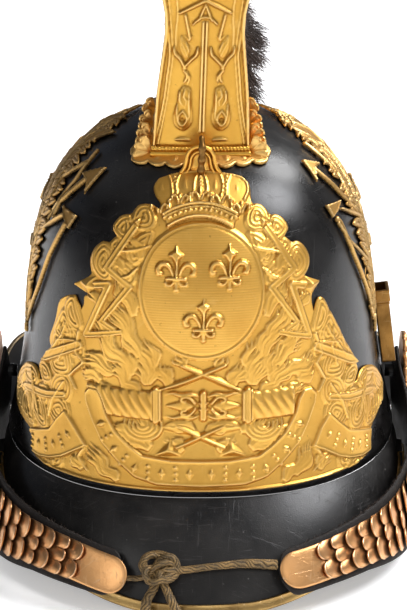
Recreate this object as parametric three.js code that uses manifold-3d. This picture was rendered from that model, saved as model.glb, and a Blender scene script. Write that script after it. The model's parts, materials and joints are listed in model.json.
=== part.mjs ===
// Gendarme helmet: leather bowl, peak and neck guard, gilt front plate and crest, hair roll,
// side ornaments, plume socket and scaled chin straps tied with a cord. Millimetres, +Z up,
// the front faces -Y and +X is the wearer's left.
import * as THREE from 'three';
import { mergeVertices } from 'three/addons/utils/BufferGeometryUtils.js';
import { TessellateModifier } from 'three/addons/modifiers/TessellateModifier.js';
import Module from 'manifold-3d';

const wasm = await Module();
wasm.setup();

// Driving dimensions.
const gap = 0.3;                  // clearance between touching pieces
const bowl = {
  rim: 50,                        // height of the lower edge
  height: 167,
  halfWidth: 102.3,
  front: 120.7,                   // from the middle to the front of the rim
  back: 123,
  squareness: 2.3,                // exponent of the oval plan
  flare: 0.14,                    // how much the wall draws in from rim to crown
  domePower: 5.5,                 // how late the wall turns over into the dome
  wall: 3,
};
const peak = {
  tip: 160,                       // from the middle to the front of the edge
  edgeHeight: 2.2,
  centre: -40,                    // middle of the edge's oval
  halfWidth: 103,
  slope: 38,                      // how much the edge climbs to the sides
  drop: 1.2,
  reach: 92,                      // degrees that the edge turns each way
  rootReach: 84,
  bulge: 4,
  wall: 2.6,
};
const guard = {
  tip: 190,
  edgeHeight: 3.6,
  centre: 40,
  halfWidth: 112,
  squareness: 3,
  reach: 115,
  rootReach: 84.5,
  sag: -5,
  wall: 2.8,
};
const plate = { thickness: 0.9, stand: 0.5 };
const crest = { front: -47, rear: 96, wall: 1.2, foot: 206, lean: 0.034 };
const socket = {
  top: 124.6,
  bottom: 84.5,
  y: -14,
  lean: 7.4,
  depth: 14,
  width: 7.4,
  wall: 0.8,
  collar: 7,
  rim: 0.7,
};
const strap = {
  rows: 18,
  firstRow: 26.5,                 // along the strap, where the scales begin behind the boss
  scaleLength: 12.6,
  scaleThickness: 0.7,
  scaleTilt: 0.15,                // how much a scale rises over the next
  lining: 2,
  liningEdge: 2.5,
  tongueLength: 26,
  tongueThickness: 0.9,
};
const boss = { y: 8, z: 70, radius: 21, scallop: 2.2, lobes: 14, back: 107.5, studRadius: 3.4 };
const cordDiameter = 4;

const colours = {
  leather: { color: 0x0d0c0e, roughness: 0.28, metalness: 0 },
  gilt: { color: 0xc9962f, roughness: 0.32, metalness: 1 },
  ornament: { color: 0x9a7440, roughness: 0.4, metalness: 1 },
  socketBrass: { color: 0x9c7636, roughness: 0.35, metalness: 1 },
  scaleBrass: { color: 0xcf8f4c, roughness: 0.35, metalness: 1 },
  binding: { color: 0x8f7436, roughness: 0.35, metalness: 1 },
  hair: { color: 0x1a1310, roughness: 0.9, metalness: 0 },
  lining: { color: 0x15110f, roughness: 0.9, metalness: 0 },
  cord: { color: 0x7d6a44, roughness: 0.85, metalness: 0 },
};

// ---- small helpers ----

const radians = THREE.MathUtils.degToRad;
const signedPower = (value, power) => Math.sign(value) * Math.abs(value) ** power;
const steps = (count) => Array.from({ length: count + 1 }, (_, i) => i / count);
const mirrored = (point) => new THREE.Vector3(-point.x, point.y, point.z);

function interpolate(rows, key, value, wanted) {
  const last = rows.length - 1;
  let i = 0;
  while (i < last - 1 && rows[i + 1][key] < value) i += 1;
  const span = (value - rows[i][key]) / (rows[i + 1][key] - rows[i][key]);
  return THREE.MathUtils.lerp(rows[i][wanted], rows[i + 1][wanted], THREE.MathUtils.clamp(span, 0, 1));
}

function smoothRows(rows, key, wanted) {
  const curve = new THREE.SplineCurve(rows.map((row) => new THREE.Vector2(row[key], row[wanted])));
  const dense = curve.getPoints(120).map((point) => ({ at: point.x, value: point.y }));
  return (value) => interpolate(dense, 'at', value, 'value');
}

function meshGeometry(vertices, triangles) {
  const geometry = new THREE.BufferGeometry();
  const numbers = vertices.flatMap((v) => [v.x, v.y, v.z]);
  geometry.setAttribute('position', new THREE.Float32BufferAttribute(numbers, 3));
  geometry.setIndex(triangles.flat());
  return geometry;
}

function weld(geometry) {
  const bare = geometry.clone();
  bare.deleteAttribute('normal');
  bare.deleteAttribute('uv');
  return mergeVertices(bare, 1e-4);
}

function signedVolume(geometry) {
  const index = geometry.getIndex();
  const position = geometry.getAttribute('position');
  const corner = (i) => new THREE.Vector3().fromBufferAttribute(position, index.getX(i));
  let volume = 0;
  for (let i = 0; i < index.count; i += 3) volume += corner(i).dot(corner(i + 1).cross(corner(i + 2)));
  return volume / 6;
}

function facedOut(geometry) {
  const welded = weld(geometry);
  if (signedVolume(welded) > 0) return welded;
  const index = welded.getIndex();
  for (let i = 0; i < index.count; i += 3) {
    const second = index.getX(i + 1);
    index.setX(i + 1, index.getX(i + 2));
    index.setX(i + 2, second);
  }
  return welded;
}

// A closed wall between two grids of points with the same rows and columns.
function wallBetween(outer, inner) {
  const rows = outer.length;
  const columns = outer[0].length;
  const vertices = [...outer.flat(), ...inner.flat()];
  const at = (side, row, column) => side * rows * columns + row * columns + column;
  const triangles = [];
  const quad = (a, b, c, d) => triangles.push([a, b, c], [a, c, d]);
  for (let r = 0; r < rows - 1; r += 1) {
    for (let c = 0; c < columns - 1; c += 1) {
      quad(at(0, r, c), at(0, r, c + 1), at(0, r + 1, c + 1), at(0, r + 1, c));
      quad(at(1, r, c), at(1, r + 1, c), at(1, r + 1, c + 1), at(1, r, c + 1));
    }
  }
  for (let c = 0; c < columns - 1; c += 1) {
    quad(at(0, 0, c), at(1, 0, c), at(1, 0, c + 1), at(0, 0, c + 1));
    quad(at(0, rows - 1, c), at(0, rows - 1, c + 1), at(1, rows - 1, c + 1), at(1, rows - 1, c));
  }
  for (let r = 0; r < rows - 1; r += 1) {
    quad(at(0, r, 0), at(0, r + 1, 0), at(1, r + 1, 0), at(1, r, 0));
    const end = columns - 1;
    quad(at(0, r, end), at(1, r, end), at(1, r + 1, end), at(0, r + 1, end));
  }
  return facedOut(meshGeometry(vertices, triangles));
}

// A solid through closed rings of points, with a flat fan over each end.
function loft(rings) {
  const around = rings[0].length;
  const vertices = rings.flat();
  const triangles = [];
  for (let r = 0; r < rings.length - 1; r += 1) {
    for (let i = 0; i < around; i += 1) {
      const next = (i + 1) % around;
      const [a, b] = [r * around + i, r * around + next];
      triangles.push([a, b, b + around], [a, b + around, a + around]);
    }
  }
  const centre = (ring) => ring.reduce((sum, p) => sum.add(p), new THREE.Vector3()).divideScalar(around);
  const first = vertices.push(centre(rings[0])) - 1;
  const last = vertices.push(centre(rings.at(-1))) - 1;
  const top = (rings.length - 1) * around;
  for (let i = 0; i < around; i += 1) {
    const next = (i + 1) % around;
    triangles.push([first, next, i], [last, top + i, top + next]);
  }
  return facedOut(meshGeometry(vertices, triangles));
}

// A solid through rings shaped like a U: five points along its inside, then five along its outside.
function channel(rings) {
  const count = rings[0].length;
  const triangles = [];
  for (let r = 0; r < rings.length - 1; r += 1) {
    for (let i = 0; i < count; i += 1) {
      const next = (i + 1) % count;
      const [a, b] = [r * count + i, r * count + next];
      triangles.push([a, b, b + count], [a, b + count, a + count]);
    }
  }
  const cap = [[0, 1, 9], [1, 8, 9], [1, 7, 8], [1, 2, 7], [2, 6, 7], [2, 5, 6], [2, 3, 5], [3, 4, 5]];
  const top = (rings.length - 1) * count;
  for (const [a, b, c] of cap) triangles.push([a, c, b], [top + a, top + b, top + c]);
  return facedOut(meshGeometry(rings.flat(), triangles));
}

function solid(geometry) {
  const welded = weld(geometry);
  const vertProperties = new Float32Array(welded.getAttribute('position').array);
  const triVerts = new Uint32Array(welded.getIndex().array);
  return new wasm.Manifold(new wasm.Mesh({ numProp: 3, vertProperties, triVerts }));
}

function fromSolid(body) {
  const { vertProperties, triVerts } = body.getMesh();
  const geometry = new THREE.BufferGeometry();
  geometry.setAttribute('position', new THREE.Float32BufferAttribute(vertProperties, 3));
  geometry.setIndex(Array.from(triVerts));
  return weld(geometry);
}

function boxBetween(low, high) {
  const size = high.clone().sub(low);
  const middle = low.clone().add(high).multiplyScalar(0.5);
  return new THREE.BoxGeometry(size.x, size.y, size.z).translate(middle.x, middle.y, middle.z);
}

// ---- the bowl's surface, on which most pieces lie ----

// Share of the rim's width and length left at a share of the height.
function bowlSpread(rise) {
  const drawnIn = 1 - bowl.flare * (1 - (1 - rise) ** 3);
  return drawnIn * Math.sqrt(Math.max(1 - rise ** bowl.domePower, 0));
}

const meridian = steps(900).map((share) => {
  const rise = 1 - (1 - share) ** 2;
  return { rise, spread: bowlSpread(rise), length: 0 };
});
meridian.forEach((row, i) => {
  if (i === 0) return;
  const before = meridian[i - 1];
  const inward = bowl.front * (row.spread - before.spread);
  row.length = before.length + Math.hypot(inward, bowl.height * (row.rise - before.rise));
});

// A point of the rim's oval, by its angle from the front.
function ovalPoint(angle) {
  const along = Math.cos(angle) > 0 ? bowl.front : bowl.back;
  const power = 2 / bowl.squareness;
  return new THREE.Vector2(
    bowl.halfWidth * signedPower(Math.sin(angle), power),
    -along * signedPower(Math.cos(angle), power),
  );
}

const oval = steps(720).map((share) => ({ angle: share * Math.PI, length: 0 }));
oval.forEach((row, i) => {
  if (i > 0) row.length = oval[i - 1].length + ovalPoint(row.angle).distanceTo(ovalPoint(oval[i - 1].angle));
});

// A point on the bowl: `across` is the length round from the front, `up` the length from the rim.
function bowlPoint(across, up) {
  const rise = interpolate(meridian, 'length', up, 'rise');
  const spread = bowlSpread(rise);
  const angle = interpolate(oval, 'length', Math.abs(across) / Math.max(spread, 1e-3), 'angle');
  const flat = ovalPoint(angle).multiplyScalar(spread);
  return new THREE.Vector3(Math.sign(across || 1) * flat.x, flat.y, bowl.rim + bowl.height * rise);
}

// The dome's height over a point of the plan.
function domePoint(x, y) {
  const along = y < 0 ? bowl.front : bowl.back;
  const sum = Math.abs(x / bowl.halfWidth) ** bowl.squareness + Math.abs(y / along) ** bowl.squareness;
  const wanted = sum ** (1 / bowl.squareness);
  let [low, high] = [0, 1];
  for (let i = 0; i < 40; i += 1) {
    const middle = (low + high) / 2;
    if (bowlSpread(middle) > wanted) low = middle;
    else high = middle;
  }
  return new THREE.Vector3(x, y, bowl.rim + bowl.height * low);
}

function normalOf(surface, u, v, small) {
  const du = surface(u + small, v).sub(surface(u - small, v));
  const dv = surface(u, v + small).sub(surface(u, v - small));
  const normal = du.cross(dv).normalize();
  const outward = surface(u, v).sub(new THREE.Vector3(0, 0, bowl.rim + bowl.height * 0.4));
  return normal.dot(outward) < 0 ? normal.negate() : normal;
}

// The height of a level that lies `off` from the dome's skin.
function levelAbove(x, y, off) {
  return domePoint(x, y).z + off / normalOf(domePoint, x, y, 0.2).z;
}

function lifted(surface, u, v, height) {
  return surface(u, v).addScaledVector(normalOf(surface, u, v, 0.2), height);
}

// The crest stands a little out of true: it leans to the wearer's left as it rises.
const crestLean = (z) => crest.lean * Math.max(z - crest.foot, 0);

// A thin piece of flat outline laid on a surface, standing off it.
function laidOn(surface, outline, thickness, stand, cell) {
  const options = { depth: thickness, bevelEnabled: false };
  const flat = new THREE.ExtrudeGeometry(new THREE.Shape(outline), options);
  const fine = new TessellateModifier(cell, 12).modify(flat);
  const position = fine.getAttribute('position');
  for (let i = 0; i < position.count; i += 1) {
    const point = lifted(surface, position.getX(i), position.getY(i), stand + position.getZ(i));
    position.setXYZ(i, point.x, point.y, point.z);
  }
  return facedOut(fine);
}

function bowlRing(spread, height, shrink, around) {
  return steps(around).slice(0, -1).map((share) => {
    const flat = ovalPoint((share * 2 - 1) * Math.PI);
    const inset = 1 - shrink / Math.hypot(flat.x, flat.y) / Math.max(spread, 0.05);
    return new THREE.Vector3(flat.x * spread * inset, flat.y * spread * inset, height);
  });
}

// ---- leather: bowl, peak and neck guard ----

function evenRises(count) {
  const total = meridian.at(-1).length;
  return steps(count).map((share) => interpolate(meridian, 'length', share * total, 'rise'));
}

function bowlRings(count, around, grow) {
  return evenRises(count).slice(0, -1).concat(0.9995).map((rise) => {
    const spread = bowlSpread(rise);
    const height = bowl.rim + bowl.height * rise;
    return bowlRing(spread, height, -grow, around);
  });
}

function makeBowl() {
  const around = 52;
  const outer = bowlRings(16, around, 0).reverse();
  const thinner = 1 - bowl.wall / bowl.height;
  const inner = bowlRings(9, around, -bowl.wall)
    .map((ring) => ring.map((p) => p.clone().setZ(bowl.rim + (p.z - bowl.rim) * thinner)));
  return loft([...outer, ...inner]);
}

// Places on the peak: `turn` in degrees from the front, `out` from 0 at the bowl to 1 at the edge.
function peakPoint(turn, out) {
  const angle = radians(turn);
  const flat = ovalPoint(angle * peak.rootReach / peak.reach);
  const root = new THREE.Vector3(flat.x, flat.y, bowl.rim - gap);
  const slope = Math.max(peak.slope * (1 - Math.cos(angle)) - peak.drop, 0);
  const edge = new THREE.Vector3(
    peak.halfWidth * Math.sin(angle),
    peak.centre - (peak.tip + peak.centre) * Math.cos(angle),
    peak.edgeHeight + slope,
  );
  const bulge = peak.bulge * 4 * out * (1 - out) * Math.cos(angle * 0.8);
  const rise = new THREE.Vector3(Math.sin(angle), -Math.cos(angle), 0.8).normalize();
  return root.lerp(edge, out).addScaledVector(rise, bulge);
}

// Places on the neck guard: `turn` in degrees from the rear.
function guardPoint(turn, out) {
  const angle = radians(turn);
  const flat = ovalPoint(Math.PI - angle * guard.rootReach / guard.reach);
  const root = new THREE.Vector3(flat.x, flat.y, bowl.rim - gap);
  const beyond = Math.max(Math.abs(turn) - 90, 0) / (guard.reach - 90);
  const within = radians(THREE.MathUtils.clamp(turn, -90, 90));
  const power = 2 / guard.squareness;
  const edge = new THREE.Vector3(
    guard.halfWidth * signedPower(Math.sin(within), power) - Math.sign(turn) * 6 * beyond ** 1.5,
    guard.centre + (guard.tip - guard.centre) * Math.max(Math.cos(within), 0) ** power - 24 * beyond,
    guard.edgeHeight + (bowl.rim - guard.edgeHeight) * Math.max(1 - Math.cos(within) ** 4 - 0.02, 0),
  );
  const sag = guard.sag * 4 * out * (1 - out) * Math.cos(within);
  const rise = new THREE.Vector3(0, 0.5, 0.85);
  return root.lerp(edge, out).addScaledVector(rise, sag);
}

function surfaceWall(surface, turns, outs, wall) {
  const grid = (depth) => turns.map((turn) => outs.map((out) => surface(turn, out)
    .addScaledVector(upNormal(surface, turn, out), -depth)));
  return wallBetween(grid(0), grid(wall));
}

function upNormal(surface, turn, out) {
  const across = surface(turn + 0.5, out).sub(surface(turn - 0.5, out));
  const along = surface(turn, out + 0.01).sub(surface(turn, out - 0.01));
  const normal = across.cross(along).normalize();
  return normal.z < 0 ? normal.negate() : normal;
}

const symmetricTurns = (reach, count) => steps(count).map((share) => (share * 2 - 1) * reach);

// A brass channel folded over the edge of a leather wall, flat where it would sink below the floor.
function edgeBinding(surface, turns, wall, depth, metal) {
  const far = wall + gap + metal;
  const corner = metal * 0.6;
  const rings = turns.map((turn) => {
    const edge = surface(turn, 1);
    const lipOut = 1 - depth / edge.distanceTo(surface(turn, 0));
    const lip = surface(turn, lipOut);
    const edgeNormal = upNormal(surface, turn, 1);
    const lipNormal = upNormal(surface, turn, lipOut);
    const outward = edge.clone().sub(lip).normalize();
    const atLip = (off) => lip.clone().addScaledVector(lipNormal, off);
    const atEdge = (out, off) => edge.clone().addScaledVector(outward, out).addScaledVector(edgeNormal, off);
    return [
      atLip(gap), atEdge(gap, gap), atEdge(gap, -wall - gap), atLip(-wall - gap), atLip(-far),
      atEdge(gap + metal - corner, -far), atEdge(gap + metal, corner - far),
      atEdge(gap + metal, gap + metal - corner), atEdge(gap + metal - corner, gap + metal),
      atLip(gap + metal),
    ];
  });
  const floor = boxBetween(new THREE.Vector3(-300, -300, -50), new THREE.Vector3(300, 300, 0));
  return fromSolid(solid(channel(rings)).subtract(solid(floor)));
}

// ---- front plate ----

// Right half of the plate's outline, from the middle of the lower edge round to the crown's top:
// `across` is the length round the bowl and `up` the length from the rim.
const plateOutline = [
  { across: 60, up: 3 }, { across: 110, up: 4 }, { across: 150, up: 4 },
  { across: 150, up: 20 }, { across: 141, up: 25 }, { across: 132, up: 35 }, { across: 124, up: 42 },
  { across: 115, up: 45 }, { across: 107, up: 43 }, { across: 95, up: 43 }, { across: 100, up: 50.5 },
  { across: 90, up: 60 }, { across: 90, up: 68 }, { across: 83, up: 73 }, { across: 82, up: 81 },
  { across: 76, up: 87 }, { across: 72, up: 93 }, { across: 66, up: 94 }, { across: 62, up: 87 },
  { across: 68, up: 100 }, { across: 56, up: 107 }, { across: 62, up: 114 }, { across: 59, up: 122 },
  { across: 52, up: 125 }, { across: 46, up: 127 }, { across: 49, up: 133 }, { across: 46, up: 139 },
  { across: 38, up: 145 }, { across: 28, up: 146 }, { across: 25, up: 149 }, { across: 25, up: 157 },
  { across: 20, up: 163.5 }, { across: 10, up: 167 },
];
const crownTab = { halfWidth: 7.8, bottom: 202, top: 216, y: -67.6, thickness: 1.3 };

function bothHalves(rows, first, last) {
  const right = rows.map(({ across, up }) => new THREE.Vector2(across, up));
  const left = rows.map(({ across, up }) => new THREE.Vector2(-across, up)).reverse();
  return [new THREE.Vector2(0, first), ...right, new THREE.Vector2(0, last), ...left];
}

function makeFrontPlate() {
  const outline = bothHalves(plateOutline, 2.5, 168);
  const sheet = laidOn(bowlPoint, outline, plate.thickness, plate.stand, 15);
  const { halfWidth, bottom, top, y, thickness } = crownTab;
  const arch = new THREE.Shape();
  arch.moveTo(-halfWidth, bottom);
  arch.lineTo(halfWidth, bottom);
  arch.lineTo(halfWidth, top - halfWidth);
  arch.absarc(0, top - halfWidth, halfWidth, 0, Math.PI);
  const tab = new THREE.ExtrudeGeometry(arch, { depth: thickness, bevelEnabled: false, curveSegments: 10 });
  tab.rotateX(Math.PI / 2).translate(0, y + thickness, 0);
  return fromSolid(solid(sheet).add(solid(tab)));
}

// ---- side ornaments ----

// Outline of the laurel branch and its lightning bolts, from the lower tip up the front and down the rear.
const ornamentOutline = [
  { across: 128, up: 61 }, { across: 112, up: 80 }, { across: 98, up: 96 }, { across: 88, up: 108 },
  { across: 80, up: 120 }, { across: 71, up: 134 }, { across: 77, up: 140 }, { across: 67, up: 145 },
  { across: 72, up: 153 }, { across: 56, up: 163 }, { across: 72, up: 163 }, { across: 78, up: 170 },
  { across: 66, up: 182 }, { across: 84, up: 178 }, { across: 100, up: 188 }, { across: 112, up: 186 },
  { across: 116, up: 176 }, { across: 126, up: 168 }, { across: 130, up: 156 }, { across: 142, up: 148 },
  { across: 144, up: 134 }, { across: 154, up: 124 }, { across: 152, up: 110 }, { across: 157, up: 98 },
  { across: 149, up: 92 }, { across: 142, up: 83 }, { across: 137, up: 80 }, { across: 134, up: 70 },
];

function makeSideOrnament(side) {
  const outline = ornamentOutline.map(({ across, up }) => new THREE.Vector2(side * across, up));
  return laidOn(bowlPoint, outline, 1.2, 0.8, 13);
}

// ---- crest ----

const crestSections = [
  { y: crest.front, foot: 22, top: 12, rise: 88 },
  { y: -20, foot: 21, top: 12, rise: 74 },
  { y: 10, foot: 20, top: 12, rise: 52 },
  { y: 40, foot: 18.5, top: 11, rise: 30 },
  { y: 66, foot: 17, top: 10, rise: 17 },
  { y: 86, foot: 13, top: 8, rise: 10 },
  { y: crest.rear, foot: 8, top: 5, rise: 5 },
];
const crestFrontRows = [
  { z: 210, half: 24.3 }, { z: 225, half: 23.7 }, { z: 238, half: 23 }, { z: 248, half: 22 },
  { z: 259, half: 20.8 }, { z: 270, half: 19.7 }, { z: 280, half: 20 }, { z: 290, half: 22 },
  { z: 300, half: 24.4 }, { z: 308, half: 25.8 }, { z: 312, half: 26 },
];
const flange = {
  thickness: 1.2,
  stand: 0.6,
  front: -64,
  cornerY: -53,
  halfWidth: 34,
  lobes: 9,
};
const flangeTop = flange.stand + flange.thickness;
const flangeSide = [
  { half: 34, y: -52 }, { half: 33, y: -42 }, { half: 27, y: -30 }, { half: 24.5, y: -10 },
  { half: 23, y: 30 }, { half: 21, y: 60 }, { half: 17, y: 82 }, { half: 11, y: 95 }, { half: 4, y: 100 },
];

function makeCrestBase() {
  const lobeWidth = (2 * flange.halfWidth) / flange.lobes;
  const frontEdge = [];
  for (let lobe = 0; lobe < flange.lobes; lobe += 1) {
    for (const share of [0, 0.2, 0.5, 0.8]) {
      const x = -flange.halfWidth + (lobe + share) * lobeWidth;
      const sweepBack = (flange.cornerY - flange.front) * (x / flange.halfWidth) ** 2;
      const scallop = 1.6 * Math.sin(Math.PI * share) ** 0.7;
      frontEdge.push(new THREE.Vector2(x, flange.front + 1.6 + sweepBack - scallop));
    }
  }
  const rightSide = flangeSide.map(({ half, y }) => new THREE.Vector2(half, y));
  const leftSide = flangeSide.map(({ half, y }) => new THREE.Vector2(-half, y)).reverse().slice(0, -1);
  return laidOn(domePoint, [...frontEdge, ...rightSide, ...leftSide], flange.thickness, flange.stand, 11);
}

function combSection({ y, foot, top, rise }, grow, wall) {
  const base = levelAbove(foot, y, flangeTop + 0.8);
  const ridge = domePoint(0, y).z + rise + grow - wall;
  const height = ridge - base;
  const spreads = [
    { half: foot, up: 0 },
    { half: THREE.MathUtils.lerp(foot, top, 0.55), up: 0.3 },
    { half: THREE.MathUtils.lerp(foot, top, 0.88), up: 0.62 },
    { half: top, up: 0.9 },
    { half: top * 0.7, up: 0.98 },
  ];
  const right = spreads.map(({ half, up }) => new THREE.Vector3(half + grow - wall, y, base + up * height));
  const upright = [...right, new THREE.Vector3(0, y, ridge), ...right.map(mirrored).reverse()];
  return upright.map((p) => p.setX(p.x + crestLean(p.z)));
}

const combSteps = steps(12).map((share) => {
  const y = THREE.MathUtils.lerp(crest.front, crest.rear, share);
  const at = (wanted) => smoothRows(crestSections, 'y', wanted)(y);
  return { y, foot: at('foot'), top: at('top'), rise: at('rise') };
});

function makeCrestComb() {
  const outer = combSteps.map((row) => combSection(row, 0, 0));
  const inner = combSteps.map((row) => combSection(row, 0, crest.wall));
  return wallBetween(outer, inner);
}

// The room that the comb takes up, from inside the bowl up.
function combSpace(clearance) {
  const sunk = (p) => p.clone().setZ(p.z - 15);
  return loft(combSteps.map((row) => {
    const points = combSection(row, clearance, 0);
    return [sunk(points[0]), ...points, sunk(points.at(-1))];
  }));
}

function makeCrestFront() {
  const thickness = 1.6;
  const faceY = (z) => -52.5 - 5 * ((z - 206) / 106) ** 2;
  const columns = [-1, -0.75, -0.5, -0.25, 0, 0.25, 0.5, 0.75, 1];
  const place = (row, depth, first) => columns.map((u) => {
    const half = row.half - (depth > 0 ? thickness : 0);
    const y = faceY(row.z) + 1.5 * u * u + depth;
    const x = u * half;
    const z = first ? levelAbove(x, y, flangeTop + 0.8) : row.z;
    return new THREE.Vector3(x + crestLean(z), y, z);
  });
  const back = (p) => p.clone().setY(crest.front - 0.8);
  const withReturns = (points) => [back(points[0]), ...points, back(points.at(-1))];
  const rows = [{ z: 207, half: 24.6 }, ...crestFrontRows];
  const grid = (depth) => rows.map((row, i) => withReturns(place(row, depth, i === 0)));
  return wallBetween(grid(0), grid(thickness));
}

// Middle line of the hair roll: it leans to the wearer's left and hangs down behind.
const maneRows = [
  { x: 3.4, y: -40, z: 306, radius: 14 },
  { x: 2.5, y: -15, z: 299, radius: 17 },
  { x: 3, y: 12, z: 280, radius: 20 },
  { x: 8.5, y: 40, z: 253, radius: 26 },
  { x: 11, y: 66, z: 232, radius: 27 },
  { x: 8, y: 92, z: 206, radius: 24 },
  { x: 5, y: 110, z: 176, radius: 19 },
  { x: 1, y: 120, z: 142, radius: 13 },
];

function makeMane() {
  const line = new THREE.CatmullRomCurve3(maneRows.map(({ x, y, z }) => new THREE.Vector3(x, y, z)));
  const radiusAt = smoothRows(maneRows.map((row, i) => ({ ...row, i })), 'i', 'radius');
  const around = 14;
  const rings = steps(16).map((share) => {
    const point = line.getPoint(share);
    const side = new THREE.Vector3(1, 0, 0);
    const tangent = line.getTangent(share);
    const up = side.clone().cross(tangent).normalize();
    const radius = radiusAt(share * (maneRows.length - 1));
    return steps(around).slice(0, -1).map((turn) => point.clone()
      .addScaledVector(side, radius * Math.cos(turn * 2 * Math.PI))
      .addScaledVector(up, radius * Math.sin(turn * 2 * Math.PI)));
  });
  const bowlSpace = loft(bowlRings(14, 40, 2.4).map((ring) => ring.map((p) => p.clone().setZ(p.z + 2.2))));
  return fromSolid(solid(loft(rings)).subtract(solid(combSpace(0.6))).subtract(solid(bowlSpace)));
}

// ---- plume socket ----

function makePlumeSocket() {
  const length = socket.top - socket.bottom;
  const half = socket.depth / 2;
  const { wall, width, collar, rim } = socket;
  const at = (x, y, z) => new THREE.Vector3(x, y, z);
  const tube = solid(boxBetween(at(0, -half, 0), at(width, half, length)));
  const ring = solid(boxBetween(at(0, -half - rim, length - collar), at(width + rim, half + rim, length)));
  const hollow = solid(boxBetween(at(wall, wall - half, wall), at(width - wall, half - wall, length + 1)));
  return fromSolid(tube.add(ring).subtract(hollow));
}

// ---- chin straps: bosses, linings, scales and tongues ----

// Middle line of the left strap, from behind its boss to its end; `lean` turns the band's upper edge in.
const strapRows = [
  { x: 103.8, y: 11, z: 74, lean: 2, width: 30 },
  { x: 105.2, y: -4, z: 60, lean: 0, width: 35 },
  { x: 107.6, y: -23, z: 46, lean: 0, width: 40 },
  { x: 109.3, y: -48, z: 33, lean: 2, width: 40 },
  { x: 105.5, y: -76, z: 26.5, lean: 8, width: 34 },
  { x: 95, y: -103, z: 25.6, lean: 16, width: 27.5 },
  { x: 79, y: -123.5, z: 25.2, lean: 24, width: 21.5 },
  { x: 62, y: -137, z: 23.2, lean: 29, width: 19.5 },
  { x: 49, y: -144.5, z: 21.4, lean: 31, width: 18.4 },
  { x: 38, y: -149.2, z: 20.4, lean: 32, width: 18 },
];
const strapLine = new THREE.CatmullRomCurve3(strapRows.map(({ x, y, z }) => new THREE.Vector3(x, y, z)));
const strapLength = strapLine.getLength();
const tongueStart = strapLength - strap.tongueLength;
const rowPitch = (tongueStart - strap.firstRow) / strap.rows;

function strapValue(share, wanted) {
  const at = share * (strapRows.length - 1);
  const i = Math.min(Math.floor(at), strapRows.length - 2);
  return THREE.MathUtils.lerp(strapRows[i][wanted], strapRows[i + 1][wanted], at - i);
}

// A place on the left strap: `along` from its start, `across` towards its upper edge, `off` outward.
function strapPoint(along, across, off) {
  const u = THREE.MathUtils.clamp(along / strapLength, 0, 1);
  const t = strapLine.getUtoTmapping(u);
  const tangent = strapLine.getTangent(t);
  const outward = new THREE.Vector3(-tangent.y, tangent.x, 0).normalize();
  const upright = tangent.clone().cross(outward).normalize();
  const lean = radians(strapValue(t, 'lean'));
  const up = upright.clone().multiplyScalar(Math.cos(lean)).addScaledVector(outward, -Math.sin(lean));
  const normal = outward.clone().multiplyScalar(Math.cos(lean)).addScaledVector(upright, Math.sin(lean));
  return strapLine.getPoint(t).addScaledVector(up, across).addScaledVector(normal, off);
}

function strapWidth(along) {
  return strapValue(strapLine.getUtoTmapping(THREE.MathUtils.clamp(along / strapLength, 0, 1)), 'width');
}

function onSide(geometry, side) {
  if (side > 0) return facedOut(geometry);
  return facedOut(geometry.clone().scale(-1, 1, 1));
}

function makeLining(side) {
  const end = strapLength - 1.5;
  const rounding = 0.035;          // share of the length over which the end narrows
  const grid = (off) => steps(28).map((share) => {
    const along = share * end;
    const half = strapWidth(along) / 2 + strap.liningEdge;
    const into = Math.max(share - 1 + rounding, 0) / rounding;
    const round = Math.sqrt(Math.max(1 - into ** 2, 0.12));
    return [-1, -0.4, 0.4, 1].map((across) => strapPoint(along, across * half * round, off));
  });
  const band = wallBetween(grid(strap.lining / 2), grid(-strap.lining / 2));
  const holeRadius = boss.studRadius + 0.5;
  const hole = new THREE.CylinderGeometry(holeRadius, holeRadius, 20, 20).rotateZ(Math.PI / 2)
    .translate(103, boss.y, boss.z);
  return onSide(fromSolid(solid(band).subtract(solid(hole))), side);
}

function bent(geometry, place) {
  const position = geometry.getAttribute('position');
  for (let i = 0; i < position.count; i += 1) {
    const point = place(position.getX(i), position.getY(i), position.getZ(i));
    position.setXYZ(i, point.x, point.y, point.z);
  }
  return geometry;
}

// One row of scales: a small plate whose lower edge ends in round lobes.
function makeScaleRow(row, side) {
  const start = strap.firstRow + row * rowPitch;
  const half = strapWidth(start + strap.scaleLength) / 2;
  const fewer = half > 16 ? 3 : 2;
  const lobes = (strap.rows - 1 - row) % 2 === 0 ? fewer : fewer + 1;
  const radius = half / lobes;
  const reach = Math.min(radius, 5);
  const outline = new THREE.Shape();
  outline.moveTo(0, -half);
  for (let lobe = 0; lobe < lobes; lobe += 1) {
    const middle = -half + (2 * lobe + 1) * radius;
    for (const angle of [-90, -45, 0, 45].map(radians)) {
      const along = strap.scaleLength - reach + reach * Math.cos(angle);
      outline.lineTo(along, middle + radius * Math.sin(angle));
    }
  }
  outline.lineTo(strap.scaleLength - reach, half);
  outline.lineTo(0, half);
  const flat = new THREE.ExtrudeGeometry(outline, { depth: strap.scaleThickness, bevelEnabled: false });
  const lift = strap.lining / 2 + 0.5;
  const rise = (along) => lift + strap.scaleTilt * along;
  const place = (along, across, off) => strapPoint(start + along, across, rise(along) + off);
  return onSide(bent(flat, place), side);
}

function makeTongue(side) {
  const half = strapWidth(strapLength) / 2 + 0.3;
  const outline = new THREE.Shape();
  outline.moveTo(0, half);
  outline.lineTo(0, -half);
  outline.absellipse(strap.tongueLength - half, 0, half, half, -Math.PI / 2, Math.PI / 2);
  const depth = strap.tongueThickness;
  const flat = new THREE.ExtrudeGeometry(outline, { depth, bevelEnabled: false, curveSegments: 14 });
  const fine = new TessellateModifier(8, 8).modify(flat);
  const lift = strap.lining / 2 + gap;
  const place = (along, across, off) => strapPoint(tongueStart + along, across, lift + off);
  return onSide(bent(fine, place), side);
}

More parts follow.
